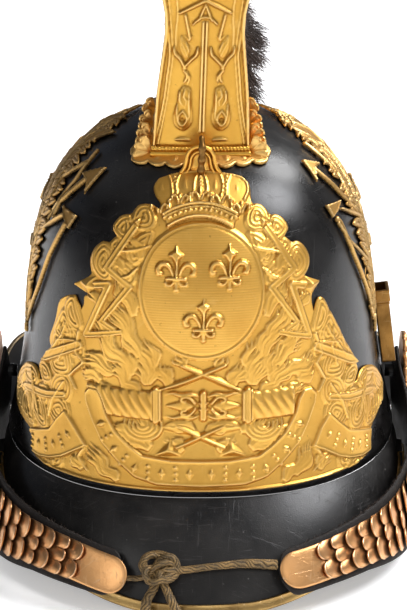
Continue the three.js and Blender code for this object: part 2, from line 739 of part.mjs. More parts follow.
function makeBoss(side) {
  const { studRadius } = boss;
  const outline = new THREE.Shape(steps(boss.lobes * 4).slice(0, -1).map((share) => {
    const scallop = Math.abs(Math.sin(share * boss.lobes * Math.PI));
    const radius = boss.radius - boss.scallop + boss.scallop * Math.sqrt(scallop);
    return new THREE.Vector2(radius * Math.cos(share * 2 * Math.PI), radius * Math.sin(share * 2 * Math.PI));
  }));
  const disc = new THREE.ExtrudeGeometry(outline, { depth: 2, bevelEnabled: false });
  const profile = [[0, -1], [13, -1], [13, 2], [11, 4.4], [7, 5.6], [6.5, 7.4], [3.5, 8.6], [0, 8.9]]
    .map(([x, y]) => new THREE.Vector2(x, y));
  const dome = new THREE.LatheGeometry(profile, 18).rotateX(Math.PI / 2);
  const seat = bowlSide(boss.y, boss.z - studRadius) + gap;
  const stud = new THREE.CylinderGeometry(studRadius, studRadius, boss.back - seat + 1, 16)
    .rotateX(Math.PI / 2)
    .translate(0, 0, -(boss.back - seat) / 2 + 0.5);
  const whole = fromSolid(solid(disc).add(solid(dome)).add(solid(stud)));
  whole.rotateY(Math.PI / 2).translate(boss.back, boss.y, boss.z);
  return onSide(whole, side);
}

// Half width of the bowl at a place of its side.
function bowlSide(y, z) {
  const spread = bowlSpread((z - bowl.rim) / bowl.height);
  const along = (y < 0 ? bowl.front : bowl.back) * spread;
  const share = 1 - Math.abs(y / along) ** bowl.squareness;
  return bowl.halfWidth * spread * share ** (1 / bowl.squareness);
}

// ---- tie cord ----

const cordRoutes = {
  tie_cord_left: [[-37.6, -149.2, 19.2], [-29.4, -151.4, 20.2]],
  tie_cord_right: [
    [-9, -151.4, 24.4], [0, -150.6, 25.2], [10, -149.6, 26], [22, -147.6, 26.2], [37.6, -145.4, 24.6],
  ],
  tie_end_left: [
    [-24.2, -154.5, 17], [-26.2, -158, 11], [-27, -161.4, 6], [-28, -166, 2.6], [-28.6, -174, 2.4],
  ],
  tie_end_right: [
    [-17, -155.8, 16.9], [-14, -159.8, 11.4], [-10.6, -163.4, 6.4], [-7.6, -168, 2.7], [-4.4, -176, 2.4],
  ],
};

function makeCord(points) {
  const route = new THREE.CatmullRomCurve3(points.map(([x, y, z]) => new THREE.Vector3(x, y, z)));
  const section = new THREE.Shape(steps(10).slice(0, -1).map((share) => new THREE.Vector2(
    (cordDiameter / 2) * Math.cos(share * 2 * Math.PI),
    (cordDiameter / 2) * Math.sin(share * 2 * Math.PI),
  )));
  const count = Math.max(3, Math.round(route.getLength() / (2 * cordDiameter)));
  const options = { steps: count, extrudePath: route, bevelEnabled: false };
  return facedOut(new THREE.ExtrudeGeometry(section, options));
}

function makeKnot() {
  const form = new THREE.SphereGeometry(1, 16, 10).scale(10.4, 5, 9.6);
  return facedOut(form.rotateX(-0.62).translate(-20, -151.4, 25.6));
}

// ---- the helmet ----

const helmet = new THREE.Group();

function addPiece(name, geometry, finish) {
  const piece = new THREE.Mesh(geometry, new THREE.MeshStandardMaterial(colours[finish]));
  piece.name = name;
  helmet.add(piece);
  return piece;
}

const peakTurns = symmetricTurns(peak.reach, 28);
const guardTurns = symmetricTurns(guard.reach, 32);
const leatherOuts = [0, 0.25, 0.5, 0.75, 0.92, 1];
addPiece('bowl', makeBowl(), 'leather');
addPiece('peak', surfaceWall(peakPoint, peakTurns, leatherOuts, peak.wall), 'leather');
addPiece('neck_guard', surfaceWall(guardPoint, guardTurns, leatherOuts, guard.wall), 'leather');
addPiece('peak_binding', edgeBinding(peakPoint, peakTurns, peak.wall, 4.6, 0.9), 'binding');
addPiece('neck_guard_binding', edgeBinding(guardPoint, guardTurns, guard.wall, 2.4, 0.8), 'binding');
addPiece('front_plate', makeFrontPlate(), 'gilt');
addPiece('crest_base', makeCrestBase(), 'gilt');
addPiece('crest_front', makeCrestFront(), 'gilt');
addPiece('crest_comb', makeCrestComb(), 'gilt');
addPiece('crest_mane', makeMane(), 'hair');

const plumeSocket = addPiece('plume_socket', makePlumeSocket(), 'socketBrass');
plumeSocket.rotation.y = radians(-socket.lean);
plumeSocket.position.set(bowlSide(socket.y, socket.bottom) + 0.6, socket.y, socket.bottom);

for (const [sideName, side] of [['left', 1], ['right', -1]]) {
  addPiece(`side_ornament_${sideName}`, makeSideOrnament(side), 'ornament');
  addPiece(`chin_boss_${sideName}`, makeBoss(side), 'scaleBrass');
  addPiece(`strap_lining_${sideName}`, makeLining(side), 'lining');
  addPiece(`tongue_${sideName}`, makeTongue(side), 'scaleBrass');
  for (let row = 0; row < strap.rows; row += 1) {
    addPiece(`scale_${sideName}_${String(row + 1).padStart(2, '0')}`, makeScaleRow(row, side), 'scaleBrass');
  }
}
for (const [name, points] of Object.entries(cordRoutes)) addPiece(name, makeCord(points), 'cord');
addPiece('tie_knot', makeKnot(), 'cord');

// The origin lies under the middle of the whole length.
helmet.position.y = -(guard.tip - peak.tip) / 2;

export default helmet;
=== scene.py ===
import json
import math
import random

import bpy
import numpy as np
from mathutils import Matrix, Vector

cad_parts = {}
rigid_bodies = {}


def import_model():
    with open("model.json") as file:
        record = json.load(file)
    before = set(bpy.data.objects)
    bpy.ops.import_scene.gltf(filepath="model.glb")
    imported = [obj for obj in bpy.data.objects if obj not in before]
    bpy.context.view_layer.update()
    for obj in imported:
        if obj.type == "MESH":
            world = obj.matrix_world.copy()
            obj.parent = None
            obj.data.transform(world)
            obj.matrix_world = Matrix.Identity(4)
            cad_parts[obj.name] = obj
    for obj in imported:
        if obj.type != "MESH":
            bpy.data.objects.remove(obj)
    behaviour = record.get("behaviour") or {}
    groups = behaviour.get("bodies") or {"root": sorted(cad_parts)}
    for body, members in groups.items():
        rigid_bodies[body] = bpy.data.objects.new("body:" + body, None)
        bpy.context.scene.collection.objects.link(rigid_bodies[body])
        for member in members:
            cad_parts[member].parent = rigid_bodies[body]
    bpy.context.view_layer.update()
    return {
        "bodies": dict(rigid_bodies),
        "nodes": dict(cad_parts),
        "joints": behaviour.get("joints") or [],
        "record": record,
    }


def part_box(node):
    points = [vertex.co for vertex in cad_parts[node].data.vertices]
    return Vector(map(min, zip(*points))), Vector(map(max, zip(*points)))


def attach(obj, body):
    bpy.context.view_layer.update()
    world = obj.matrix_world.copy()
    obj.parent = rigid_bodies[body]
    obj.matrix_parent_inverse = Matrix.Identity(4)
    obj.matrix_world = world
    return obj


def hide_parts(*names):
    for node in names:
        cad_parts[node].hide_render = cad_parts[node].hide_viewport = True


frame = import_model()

mm = 0.001
fullTurn = 2 * math.pi
reliefPitch = 0.46  # spacing of the points of a relief

# The bowl's box places the whole helmet; lengths below are in millimetres from the bowl's middle.
bowlLow, bowlHigh = (np.array(corner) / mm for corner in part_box("bowl"))
bowl = {
    "rim": bowlLow[2], "height": bowlHigh[2] - bowlLow[2], "halfWidth": (bowlHigh[0] - bowlLow[0]) / 2,
    "front": 120.7, "back": 123.0, "squareness": 2.3, "flare": 0.14, "domePower": 5.5, "wall": 3.0,
}
shiftY = (bowlLow[1] + bowlHigh[1] + bowl["front"] - bowl["back"]) / 2


def inFrame(points):
    moved = np.array(points, float)
    moved[..., 1] += shiftY
    return moved * mm


# Camera.
cameraSet = {"elevation": 19, "distance": 1500, "lens": 167, "target": (1.5, 0, 109.5)}


def makeCamera():
    tilt = math.radians(cameraSet["elevation"])
    target = Vector(inFrame(cameraSet["target"]))
    back = Vector((0, -math.cos(tilt), math.sin(tilt)))
    data = bpy.data.cameras.new("camera")
    data.lens = cameraSet["lens"]
    data.clip_start = 0.05
    camera = bpy.data.objects.new("camera", data)
    camera.location = target + back * cameraSet["distance"] * mm
    camera.rotation_euler = back.to_track_quat("Z", "Y").to_euler()
    bpy.context.scene.collection.objects.link(camera)
    bpy.context.scene.camera = camera


makeCamera()


# Node helpers.
def addNode(tree, kind, inputs=None, **settings):
    made = tree.nodes.new(kind)
    for key, value in settings.items():
        setattr(made, key, value)
    for name, value in (inputs or {}).items():
        socket = made.inputs[name]
        if isinstance(value, bpy.types.NodeSocket):
            tree.links.new(value, socket)
        else:
            socket.default_value = value
    return made


def mathNode(tree, operation, first, second=0.0, clamp=False):
    return addNode(tree, "ShaderNodeMath", {0: first, 1: second}, operation=operation,
        use_clamp=clamp).outputs[0]


def times(tree, first, second, clamp=False):
    return mathNode(tree, "MULTIPLY", first, second, clamp)


def plus(tree, first, second, clamp=False):
    return mathNode(tree, "ADD", first, second, clamp)


def mixColour(tree, share, first, second, blend="MIX"):
    inputs = {0: share, 6: first, 7: second}
    return addNode(tree, "ShaderNodeMix", inputs, data_type="RGBA", blend_type=blend).outputs[2]


def remap(tree, value, low, high, newLow=0.0, newHigh=1.0):
    limits = {"Value": value, "From Min": low, "From Max": high, "To Min": newLow, "To Max": newHigh}
    return addNode(tree, "ShaderNodeMapRange", limits).outputs[0]


def noiseOf(tree, place, scale, detail=4.0, roughness=0.55, distortion=0.0):
    settings = {"Vector": place, "Scale": scale, "Detail": detail, "Roughness": roughness,
        "Distortion": distortion}
    return addNode(tree, "ShaderNodeTexNoise", settings).outputs["Fac"]


def objectPlace(tree):
    return addNode(tree, "ShaderNodeTexCoord").outputs["Object"]


def meshValue(tree, name):
    return addNode(tree, "ShaderNodeAttribute", attribute_name=name).outputs["Fac"]


def bumpOf(tree, height, strength, distance):
    return addNode(tree, "ShaderNodeBump", {"Height": height, "Strength": strength,
        "Distance": distance}).outputs[0]


# An effect for several materials: what it takes, with defaults, and what it gives.
def newGroup(name, takes, gives):
    group = bpy.data.node_groups.new(name, "ShaderNodeTree")
    for label, value in takes.items():
        kind = "NodeSocketColor" if isinstance(value, tuple) else "NodeSocketFloat"
        group.interface.new_socket(name=label, in_out="INPUT", socket_type=kind).default_value = value
    for label in gives:
        kind = "NodeSocketColor" if label == "Color" else "NodeSocketFloat"
        group.interface.new_socket(name=label, in_out="OUTPUT", socket_type=kind)
    taken, given = addNode(group, "NodeGroupInput").outputs, addNode(group, "NodeGroupOutput").inputs
    return group, taken, lambda label, value: group.links.new(value, given[label])


def useGroup(tree, group, values):
    return addNode(tree, "ShaderNodeGroup", values, node_tree=group).outputs


def newMaterial(name):
    material = bpy.data.materials.new(name)
    material.use_nodes = True
    material.node_tree.nodes.clear()
    return material, material.node_tree


def finishMaterial(material, inputs):
    shader = addNode(material.node_tree, "ShaderNodeBsdfPrincipled", inputs)
    addNode(material.node_tree, "ShaderNodeOutputMaterial", {"Surface": shader.outputs[0]})
    return material


# Mesh helpers. values are numbers for each point that the materials read; sharp is in degrees.
def makeMesh(name, points, faces, material, slot, replaces=(), values=None, sharp=None):
    mesh = bpy.data.meshes.new(name)
    mesh.from_pydata(inFrame(points).tolist(), [], faces.tolist() if isinstance(faces,
        np.ndarray) else faces)
    mesh.validate()
    mesh.shade_smooth()
    for label, numbers in (values or {}).items():
        mesh.attributes.new(label, "FLOAT", "POINT").data.foreach_set("value",
            np.asarray(numbers, np.float32))
    if sharp:
        mesh.set_sharp_from_angle(angle=math.radians(sharp))
    made = bpy.data.objects.new(name, mesh)
    bpy.context.scene.collection.objects.link(made)
    mesh.materials.append(material)
    if replaces:
        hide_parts(*replaces)
    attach(made, "root")
    return made


def gridFaces(rows, columns, closed=False, start=0):
    index = start + np.arange(rows * columns).reshape(rows, columns)
    if closed:
        index = np.hstack([index, index[:, :1]])
    return np.stack([index[:-1, :-1], index[:-1, 1:], index[1:, 1:], index[1:, :-1]], -1).reshape(-1, 4)


def ringCaps(rings, around):
    last = (rings - 1) * around
    return [list(range(around)), list(range(last, last + around))[::-1]]


# Turns all faces over if they point into the solid that they close.
def turnedOut(points, faces, caps=()):
    a, b, c, d = (points[faces[:, i]] - points.mean(0) for i in range(4))
    if (np.cross(a, b) * c).sum() + (np.cross(a, c) * d).sum() < 0:
        return faces[:, ::-1].tolist() + [cap[::-1] for cap in caps]
    return faces.tolist() + list(caps)


# Closes an upper and a lower grid of the same size into one solid sheet.
def sheetSolid(top, under):
    count = top.shape[0] * top.shape[1]
    faces = gridFaces(*top.shape[:2])
    index = np.arange(count).reshape(top.shape[:2])
    around = np.concatenate([index[0, :], index[1:, -1], index[-1, -2::-1], index[-2:0:-1, 0]])
    following = np.roll(around, -1)
    walls = np.stack([following, around, around + count, following + count], -1)
    points = np.vstack([top.reshape(-1, 3), under.reshape(-1, 3)])
    return points, turnedOut(points, np.vstack([faces, faces[:, ::-1] + count, walls]))


def facedOut(points, faces, centre):
    first, second, third = (points[faces[:, i]] for i in range(3))
    turned = np.cross(second - first, third - first)
    return faces[:, ::-1] if (turned * ((first + third) / 2 - centre)).sum() < 0 else faces


# How far along a line each of its points lies.
def runLengths(line):
    return np.concatenate([[0], np.cumsum(np.linalg.norm(np.diff(line, axis=0), axis=1))])


def smoothPath(points, count, closed=False):
    knots = np.asarray(points, float)
    if closed:
        knots = np.vstack([knots[-1:], knots, knots[:2]])
    else:
        knots = np.vstack([2 * knots[0] - knots[1], knots, 2 * knots[-1] - knots[-2]])
    spans = len(knots) - 3
    at = np.linspace(0, spans, count * 8 + 1)
    i = np.minimum(at.astype(int), spans - 1)
    t = (at - i)[:, None]
    a, b, c, d = (knots[i + k] for k in range(4))
    dense = 0.5 * (2 * b + (c - a) * t + (2 * a - 5 * b + 4 * c - d) * t ** 2 + (3 * b - a - 3 * c + d)
        * t ** 3)
    length = runLengths(dense)
    even = np.linspace(0, length[-1], count)
    return np.stack([np.interp(even, length, column) for column in dense.T], -1)


def unit(vectors):
    return vectors / np.maximum(np.linalg.norm(vectors, axis=-1, keepdims=True), 1e-9)


# A tube along a path; shape gives its radius at a step and an angle. closed joins its ends.
def sweepTube(path, radii, around, up=(0, 0, 1), shape=None, closed=False):
    path = np.asarray(path, float)
    tangent = unit(np.roll(path, -1, 0) - np.roll(path, 1, 0) if closed else np.gradient(path, axis=0))
    side = unit(np.cross(tangent, np.broadcast_to(up, tangent.shape)))
    over = np.cross(side, tangent)
    turn = np.linspace(0, fullTurn, around, endpoint=False)
    radii = np.broadcast_to(np.asarray(radii, float), (len(path),))[:, None]
    if shape is not None:
        radii = radii * shape(np.arange(len(path))[:, None], turn[None, :])
    way = np.cos(turn)[None, :, None] * side[:, None] + np.sin(turn)[None, :, None] * over[:, None]
    points = (path[:, None] + radii[..., None] * way).reshape(-1, 3)
    if closed:
        index = np.arange(len(points)).reshape(-1, around)
        ends = np.stack([index[-1], np.roll(index[-1], -1), np.roll(index[0], -1), index[0]], -1)
        return points, np.vstack([gridFaces(len(path), around, True), ends])[:, ::-1]
    return points, gridFaces(len(path), around, True)[:, ::-1].tolist() + ringCaps(len(path), around)


def joined(parts):
    points, faces, start = [], [], 0
    for somePoints, someFaces in parts:
        points.append(np.reshape(somePoints, (-1, 3)))
        faces.extend([[int(i) + start for i in face] for face in someFaces])
        start += len(points[-1])
    return np.vstack(points), faces


# Surfaces that the pieces lie on.
meridianRise = 1 - (1 - np.linspace(0, 1, 1201)) ** 2


def bowlSpread(rise):
    drawnIn = 1 - bowl["flare"] * (1 - (1 - rise) ** 3)
    return drawnIn * np.sqrt(np.clip(1 - rise ** bowl["domePower"], 0, None))


meridianSpread = bowlSpread(meridianRise)
meridianLength = runLengths(np.stack([bowl["front"] * meridianSpread, bowl["height"] * meridianRise], -1))


def signedPower(value, power):
    return np.sign(value) * np.abs(value) ** power


def ovalPoint(angle):
    along = np.where(np.cos(angle) > 0, bowl["front"], bowl["back"])
    power = 2 / bowl["squareness"]
    return bowl["halfWidth"] * signedPower(np.sin(angle), power), -along * signedPower(np.cos(angle), power)


ovalAngle = np.linspace(0, math.pi, 1441)
ovalLength = runLengths(np.stack(ovalPoint(ovalAngle), -1))


def bowlPoint(across, up):
    rise = np.interp(up, meridianLength, meridianRise)
    spread = bowlSpread(rise)
    angle = np.interp(np.abs(across) / np.maximum(spread, 1e-3), ovalLength, ovalAngle)
    x, y = ovalPoint(angle)
    return np.stack([np.sign(across) * x * spread, y * spread, bowl["rim"] + bowl["height"] * rise], -1)


def domePoint(x, y):
    along = np.where(np.asarray(y) < 0, bowl["front"], bowl["back"])
    total = np.abs(x / bowl["halfWidth"]) ** bowl["squareness"] + np.abs(y / along) ** bowl["squareness"]
    rise = np.interp(total ** (1 / bowl["squareness"]), meridianSpread[::-1], meridianRise[::-1])
    return np.stack(np.broadcast_arrays(x, y, bowl["rim"] + bowl["height"] * rise), -1)


def gridNormals(grid, centre=(0, 0, 110)):
    normal = unit(np.cross(np.gradient(grid, axis=1), np.gradient(grid, axis=0)))
    inward = (normal * (grid - np.array(centre))).sum(-1, keepdims=True) < 0
    return np.where(inward, -normal, normal)


# Relief: heights over a flat sheet that is then laid on a surface, and how far inside the sheet's edge
# each place lies. A stroke starts from the height in base.
class Relief:
    def __init__(self, low, high, pitch, base=0.3):
        self.low = np.array(low, float)
        self.pitch = pitch
        self.base = base
        self.x = np.arange(low[0], high[0] + pitch / 2, pitch)
        self.y = np.arange(low[1], high[1] + pitch / 2, pitch)
        self.shape = (len(self.y), len(self.x))
        self.heights = np.zeros(self.shape)
        self.edge = np.full(self.shape, -9.0)

    def window(self, line, margin):
        first = np.floor((line.min(0) - margin - self.low) / self.pitch).astype(int)
        last = np.ceil((line.max(0) + margin - self.low) / self.pitch).astype(int) + 1
        rows = slice(max(first[1], 0), max(min(last[1], self.shape[0]), 0))
        columns = slice(max(first[0], 0), max(min(last[0], self.shape[1]), 0))
        return (rows, columns), np.stack(np.meshgrid(self.x[columns], self.y[rows]), -1)

    def nearest(self, line, places):
        best, share = np.full(places.shape[:2], 1e9), np.zeros(places.shape[:2])
        length = runLengths(line)
        for a, b, start, end in zip(line[:-1], line[1:], length[:-1], length[1:]):
            run = b - a
            t = np.clip(((places - a) @ run) / max(run @ run, 1e-9), 0, 1)
            off = places - a - t[..., None] * run
            far = np.hypot(off[..., 0], off[..., 1])
            closer = far < best
            best = np.where(closer, far, best)
            share = np.where(closer, (start + t * (end - start)) / max(length[-1], 1e-9), share)
        return best, share

    def put(self, area, form, inside, over, edge=None):
        here = self.heights[area]
        self.heights[area] = np.where(inside, form if over else np.maximum(here, form), here)
        if edge is not None:
            self.edge[area] = np.maximum(self.edge[area], edge)

    # A raised line: round like a bead, a roof, a flat band, or a band with two bright edges.
    def stroke(self, points, width, height, ends=(0.35, 0.1), profile="round", smooth=True, over=False,
            base=None, edge=False):
        line = np.asarray(points, float)
        if smooth and len(points) > 2:
            line = smoothPath(line, max(6, int(runLengths(line)[-1] / 1.1)))
        area, places = self.window(line, width)
        if places.size == 0:
            return
        far, share = self.nearest(line, places)
        taper = np.minimum(ends[0] + (1 - ends[0]) * share * 4, ends[1] + (1 - ends[1]) * (1 - share) * 2.2)
        half = width / 2 * np.minimum(1, taper)
        across = far / np.maximum(half, 0.05)
        if profile == "round":
            form = np.sqrt(np.clip(1 - across ** 2, 0, 1)) * np.minimum(1, half / (width * 0.3))
        elif profile == "roof":
            form = np.clip(1 - across, 0, 1)
        elif profile == "flat":
            form = np.clip((1 - across) / 0.4, 0, 1)
        else:
            form = 0.55 * np.clip((1 - across) / 0.25, 0, 1) + 0.45 * np.exp(-((across - 0.72) / 0.16) ** 2)
        if height < 0:
            self.heights[area] += height * form
        else:
            level = self.base if base is None else base
            self.put(area, level + height * form, across < 1, over, half - far if edge else None)

    def bead(self, x, y, width, height, base):
        self.stroke([(x, y), (x + 0.01, y)], width, height, (1, 1), base=base)

    # How far inside a closed outline each place of the sheet lies.
    def depth(self, points, smooth=True, margin=1.0):
        line = np.asarray(points, float)
        if smooth:
            line = smoothPath(line, max(12, int(runLengths(line)[-1] / 1.4)), closed=True)
        line = np.vstack([line, line[:1]])
        area, places = self.window(line, margin)
        far = self.nearest(line, places)[0]
        inside = np.zeros(places.shape[:2], bool)
        x, y = places[..., 0], places[..., 1]
        for (ax, ay), (bx, by) in zip(line[:-1], line[1:]):
            if ay != by:
                inside ^= ((ay > y) != (by > y)) & (x < (bx - ax) * (y - ay) / (by - ay) + ax)
        return area, places, np.where(inside, far, -far)

    # A rolled lobe with rings that fade towards its middle.
    def cloud(self, points, height, ring=2.1, groove=0.34, roll=2.2):
        area, _, far = self.depth(points)
        form = 0.3 + height * np.sqrt(np.clip(far / roll, 0, 1)) * (1 - 0.3 * np.clip((far - roll) / 9, 0,
            1))
        fading = np.clip(1.25 - far / 9, 0.15, 1)
        form += groove * fading * (np.cos(fullTurn * (far - roll * 0.55) / ring) - 1) * (far > 0.5)
        self.put(area, form, far > 0, False, far)

    # A flat piece with a sloping edge and, if asked, a raised rim. clear covers what lies under it.
    def sheet(self, points, level, rise=0.6, smooth=True, rim=0.0, rimAt=0.9, clear=True, edge=False):
        area, _, far = self.depth(points, smooth)
        form = level * np.clip(far / rise, 0, 1) + rim * np.exp(-((far - rimAt) / (rimAt * 0.45)) ** 2)
        self.put(area, form, far > 0, clear, far if edge else None)

    def outline(self, points):
        area, _, far = self.depth(points, False, 3)
        self.edge[area] = np.maximum(self.edge[area], far)


def blurred(heights, rounds=1):
    for _ in range(rounds):
        wide = np.pad(heights, 1, mode="edge")
        heights = (wide[:-2, 1:-1] + wide[2:, 1:-1] + wide[1:-1, :-2] + wide[1:-1, 2:] + 4 * heights) / 8
    return heights


# What the metals read: how far a place lies below or above its surroundings; lower places get grime and
# painted shade, higher ones wear and a painted highlight.
def hollowAndRidge(heights, wide):
    return {"recess": np.clip((wide - heights) / 0.5, 0, 1), "raised": np.clip((heights - wide) / 0.5, 0,
        1)}


# Lays a relief on a surface as thin pressed metal, cut to the relief's edge, in one piece or in three.
def layRelief(name, relief, surface, material, slot, stand, thickness, replaces, splits=(),
        centre=(0, 0, 110)):
    gridX, gridY = np.meshgrid(relief.x, relief.y)
    inside = relief.edge > 0
    keep = (inside[:-1, :-1].astype(int) + inside[1:, :-1] + inside[:-1, 1:] + inside[1:, 1:]) >= 3
    rows, columns = keep.shape
    normals = gridNormals(surface(gridX, gridY), centre)
    corners = ((0, 0), (1, 0), (0, 1), (1, 1))
    count = np.zeros(relief.shape, int)
    for row, column in corners:
        count[row:row + rows, column:column + columns] += keep
    border = (count > 0) & (count < 4)
    slopeY, slopeX = np.gradient(relief.edge, relief.pitch)
    steep = np.maximum(np.hypot(slopeX, slopeY), 0.5)
    step = 1.2 * relief.pitch
    move = np.where(border, np.clip(-relief.edge, -step, step) / steep, 0)
    base = surface(gridX + move * slopeX / steep, gridY + move * slopeY / steep)
    heights = np.where(border, np.minimum(relief.heights, 0.25), relief.heights)
    tones = hollowAndRidge(heights, blurred(relief.heights, int(3.2 / relief.pitch)))
    top = base + normals * (stand + thickness + heights)[..., None]
    under = base + normals * stand
    limits = [-1e9, *splits, 1e9]
    middles = (relief.x[:-1] + relief.x[1:]) / 2
    padded = np.pad(keep, 1)
    for tag, low, high in zip(("left", "middle", "right") if splits else ("",), limits, limits[1:]):
        part = keep & ((middles >= low) & (middles < high))
        r, c = np.nonzero(part)
        used = np.zeros(relief.shape, bool)
        for row, column in corners:
            used[r + row, c + column] = True
        skirt = used & border
        index, lower = np.full(relief.shape, -1), np.full(relief.shape, -1)
        index[used] = np.arange(used.sum())
        lower[skirt] = used.sum() + np.arange(skirt.sum())
        faces = [np.stack([index[r, c], index[r, c + 1], index[r + 1, c + 1], index[r + 1, c]], -1)]
        for row, column, start, end in ((-1, 0, (0, 0), (0, 1)), (1, 0, (1, 1), (1, 0)),
                (0, -1, (1, 0), (0, 0)), (0, 1, (0, 1), (1, 1))):
            r, c = np.nonzero(part & ~padded[1 + row:1 + row + rows, 1 + column:1 + column + columns])
            a, b = (r + start[0], c + start[1]), (r + end[0], c + end[1])
            faces.append(np.stack([index[b], index[a], lower[a], lower[b]], -1))
        points = np.vstack([top[used], under[skirt]])
        faces = facedOut(points, np.vstack(faces), np.array(centre))
        values = {label: np.concatenate([tone[used], tone[skirt]]) for label, tone in tones.items()}
        makeMesh(f"{name}_{tag}" if tag else name, points, faces, material, slot,
            replaces if tag in ("", "middle") else (), values)


def mirrored(points):
    return [(-x, y) for x, y in points]


def bothSides(points):
    return [points, mirrored(points)]


print("base and relief tools ready")


# Shared effects, as node groups.
def makeAgedMetalGroup():
    group, takes, give = newGroup("agedMetal", {"Bright": (1, 1, 1, 1), "Dull": (0.5, 0.4, 0.2, 1),
        "Dirt_shade": (0.1, 0.05, 0.02, 1), "Wear_highlight": (1, 0.9, 0.6, 1), "Recess": 0.0, "Raised": 0.0,
        "Patches": 0.5, "Patch Scale": 45.0, "Polish": 0.35, "Grime_and_shade": 0.6},
        ["Color", "Roughness", "Height"])
    place = objectPlace(group)
    blotches = noiseOf(group, place, takes["Patch Scale"], 5, 0.6, 0.4)
    fine = noiseOf(group, place, 900, 3, 0.6)
    grime = noiseOf(group, place, 160, 4, 0.65)
    patch = times(group, remap(group, blotches, 0.38, 0.66), takes["Patches"], True)
    colour = mixColour(group, patch, takes["Bright"], takes["Dull"])
    # Hollows are painted darker, partly as grime and partly as painted shade.
    hollow = times(group, takes["Recess"], remap(group, grime, 0.3, 0.7, 0.65, 1.25))
    dirt_shade = times(group, hollow, takes["Grime_and_shade"], True)
    colour = mixColour(group, dirt_shade, colour, takes["Dirt_shade"])
    # Raised places and worn edges are painted lighter, partly as rubbed wear and partly as a painted
    # highlight.
    colour = mixColour(group, times(group, takes["Raised"], 0.55, True), colour, takes["Wear_highlight"])
    spot = remap(group, noiseOf(group, place, 420, 2, 0.5), 0.69, 0.76, 0, 0.55)
    give("Color", mixColour(group, times(group, spot, takes["Patches"]), colour, takes["Dirt_shade"]))
    rough = plus(group, takes["Polish"], times(group, dirt_shade, 0.22))
    rough = plus(group, rough, times(group, patch, 0.08))
    give("Roughness", mathNode(group, "SUBTRACT", rough, times(group, takes["Raised"], 0.08), True))
    give("Height", plus(group, fine, times(group, grime, 1.5)))
    return group


def makeScratchGroup():
    group, takes, give = newGroup("fineScratches", {"Scale": 60.0, "Amount": 0.5}, ["Mask"])
    place = objectPlace(group)
    total = 0.0
    for turn, stretch in ((0.5, (1, 14, 1)), (-0.7, (12, 1, 1)), (1.2, (1, 1, 16))):
        turned = addNode(group, "ShaderNodeMapping", {"Vector": place, "Rotation": (turn, 0.6, turn),
            "Scale": stretch}).outputs[0]
        line = remap(group, noiseOf(group, turned, takes["Scale"], 3, 0.7, 0.6), 0.63, 0.7)
        total = mathNode(group, "MAXIMUM", total, line)
    give("Mask", times(group, total, takes["Amount"], True))
    return group


def makeSpeckGroup():
    group, takes, give = newGroup("paleSpecks", {"Scale": 300.0, "Amount": 0.5}, ["Mask"])
    place = objectPlace(group)
    cells = addNode(group, "ShaderNodeTexVoronoi", {"Vector": place, "Scale": takes["Scale"]}, feature="F1")
    dot = remap(group, cells.outputs["Distance"], 0.16, 0.07)
    some = remap(group, noiseOf(group, place, 130, 3, 0.6), 0.56, 0.62)
    give("Mask", times(group, times(group, dot, some), takes["Amount"], True))
    return group


def makeLeatherGrainGroup():
    group, takes, give = newGroup("leatherGrain", {"Scale": 700.0, "Unevenness": 1.0}, ["Height", "Mottle"])
    place = objectPlace(group)
    cells = addNode(group, "ShaderNodeTexVoronoi", {"Vector": place, "Scale": takes["Scale"]},
        feature="DISTANCE_TO_EDGE").outputs["Distance"]
    waves = times(group, noiseOf(group, place, 26, 4, 0.5), takes["Unevenness"])
    give("Height", plus(group, times(group, cells, 0.25), waves))
    give("Mottle", remap(group, noiseOf(group, place, 60, 6, 0.62), 0.35, 0.7))
    return group


def makeWornEdgeGroup():
    group, takes, give = newGroup("wornEdge", {"Sharpness": 0.55, "Amount": 0.5}, ["Mask"])
    pointed = addNode(group, "ShaderNodeNewGeometry").outputs["Pointiness"]
    ragged = remap(group, noiseOf(group, objectPlace(group), 220, 4, 0.65), 0.35, 0.65)
    edge = remap(group, pointed, takes["Sharpness"], 0.68)
    give("Mask", times(group, edge, times(group, ragged, takes["Amount"]), True))
    return group


agedMetal, fineScratches, paleSpecks = makeAgedMetalGroup(), makeScratchGroup(), makeSpeckGroup()
leatherGrain, wornEdge = makeLeatherGrainGroup(), makeWornEdgeGroup()


# Finishes.
def makeMetal(name, look):
    material, tree = newMaterial(name)
    # Worn edges count as raised, so they are painted lighter too, as wear and a painted highlight.
    edge = useGroup(tree, wornEdge, {"Amount": look["edge"]})["Mask"]
    metal = useGroup(tree, agedMetal, {"Recess": meshValue(tree, "recess"),
        "Raised": mathNode(tree, "MAXIMUM", meshValue(tree, "raised"), edge), "Patches": look["patches"],
        "Patch Scale": look["patchScale"], "Polish": look["polish"], "Grime_and_shade": look["grimeAndShade"],
        **{tone.capitalize(): (*look[tone], 1) for tone in ("bright", "dull", "dirt_shade", "wear_highlight")}})
    scratches = useGroup(tree, fineScratches, {"Scale": 70, "Amount": look["scratches"]})["Mask"]
    height = mathNode(tree, "SUBTRACT", metal["Height"], scratches)
    return finishMaterial(material, {"Base Color": mixColour(tree, times(tree, scratches, 0.35),
        metal["Color"], (*look["wear_highlight"], 1)), "Metallic": 1.0, "Roughness": metal["Roughness"],
        "Normal": bumpOf(tree, height, look["bump"], 0.00012)})


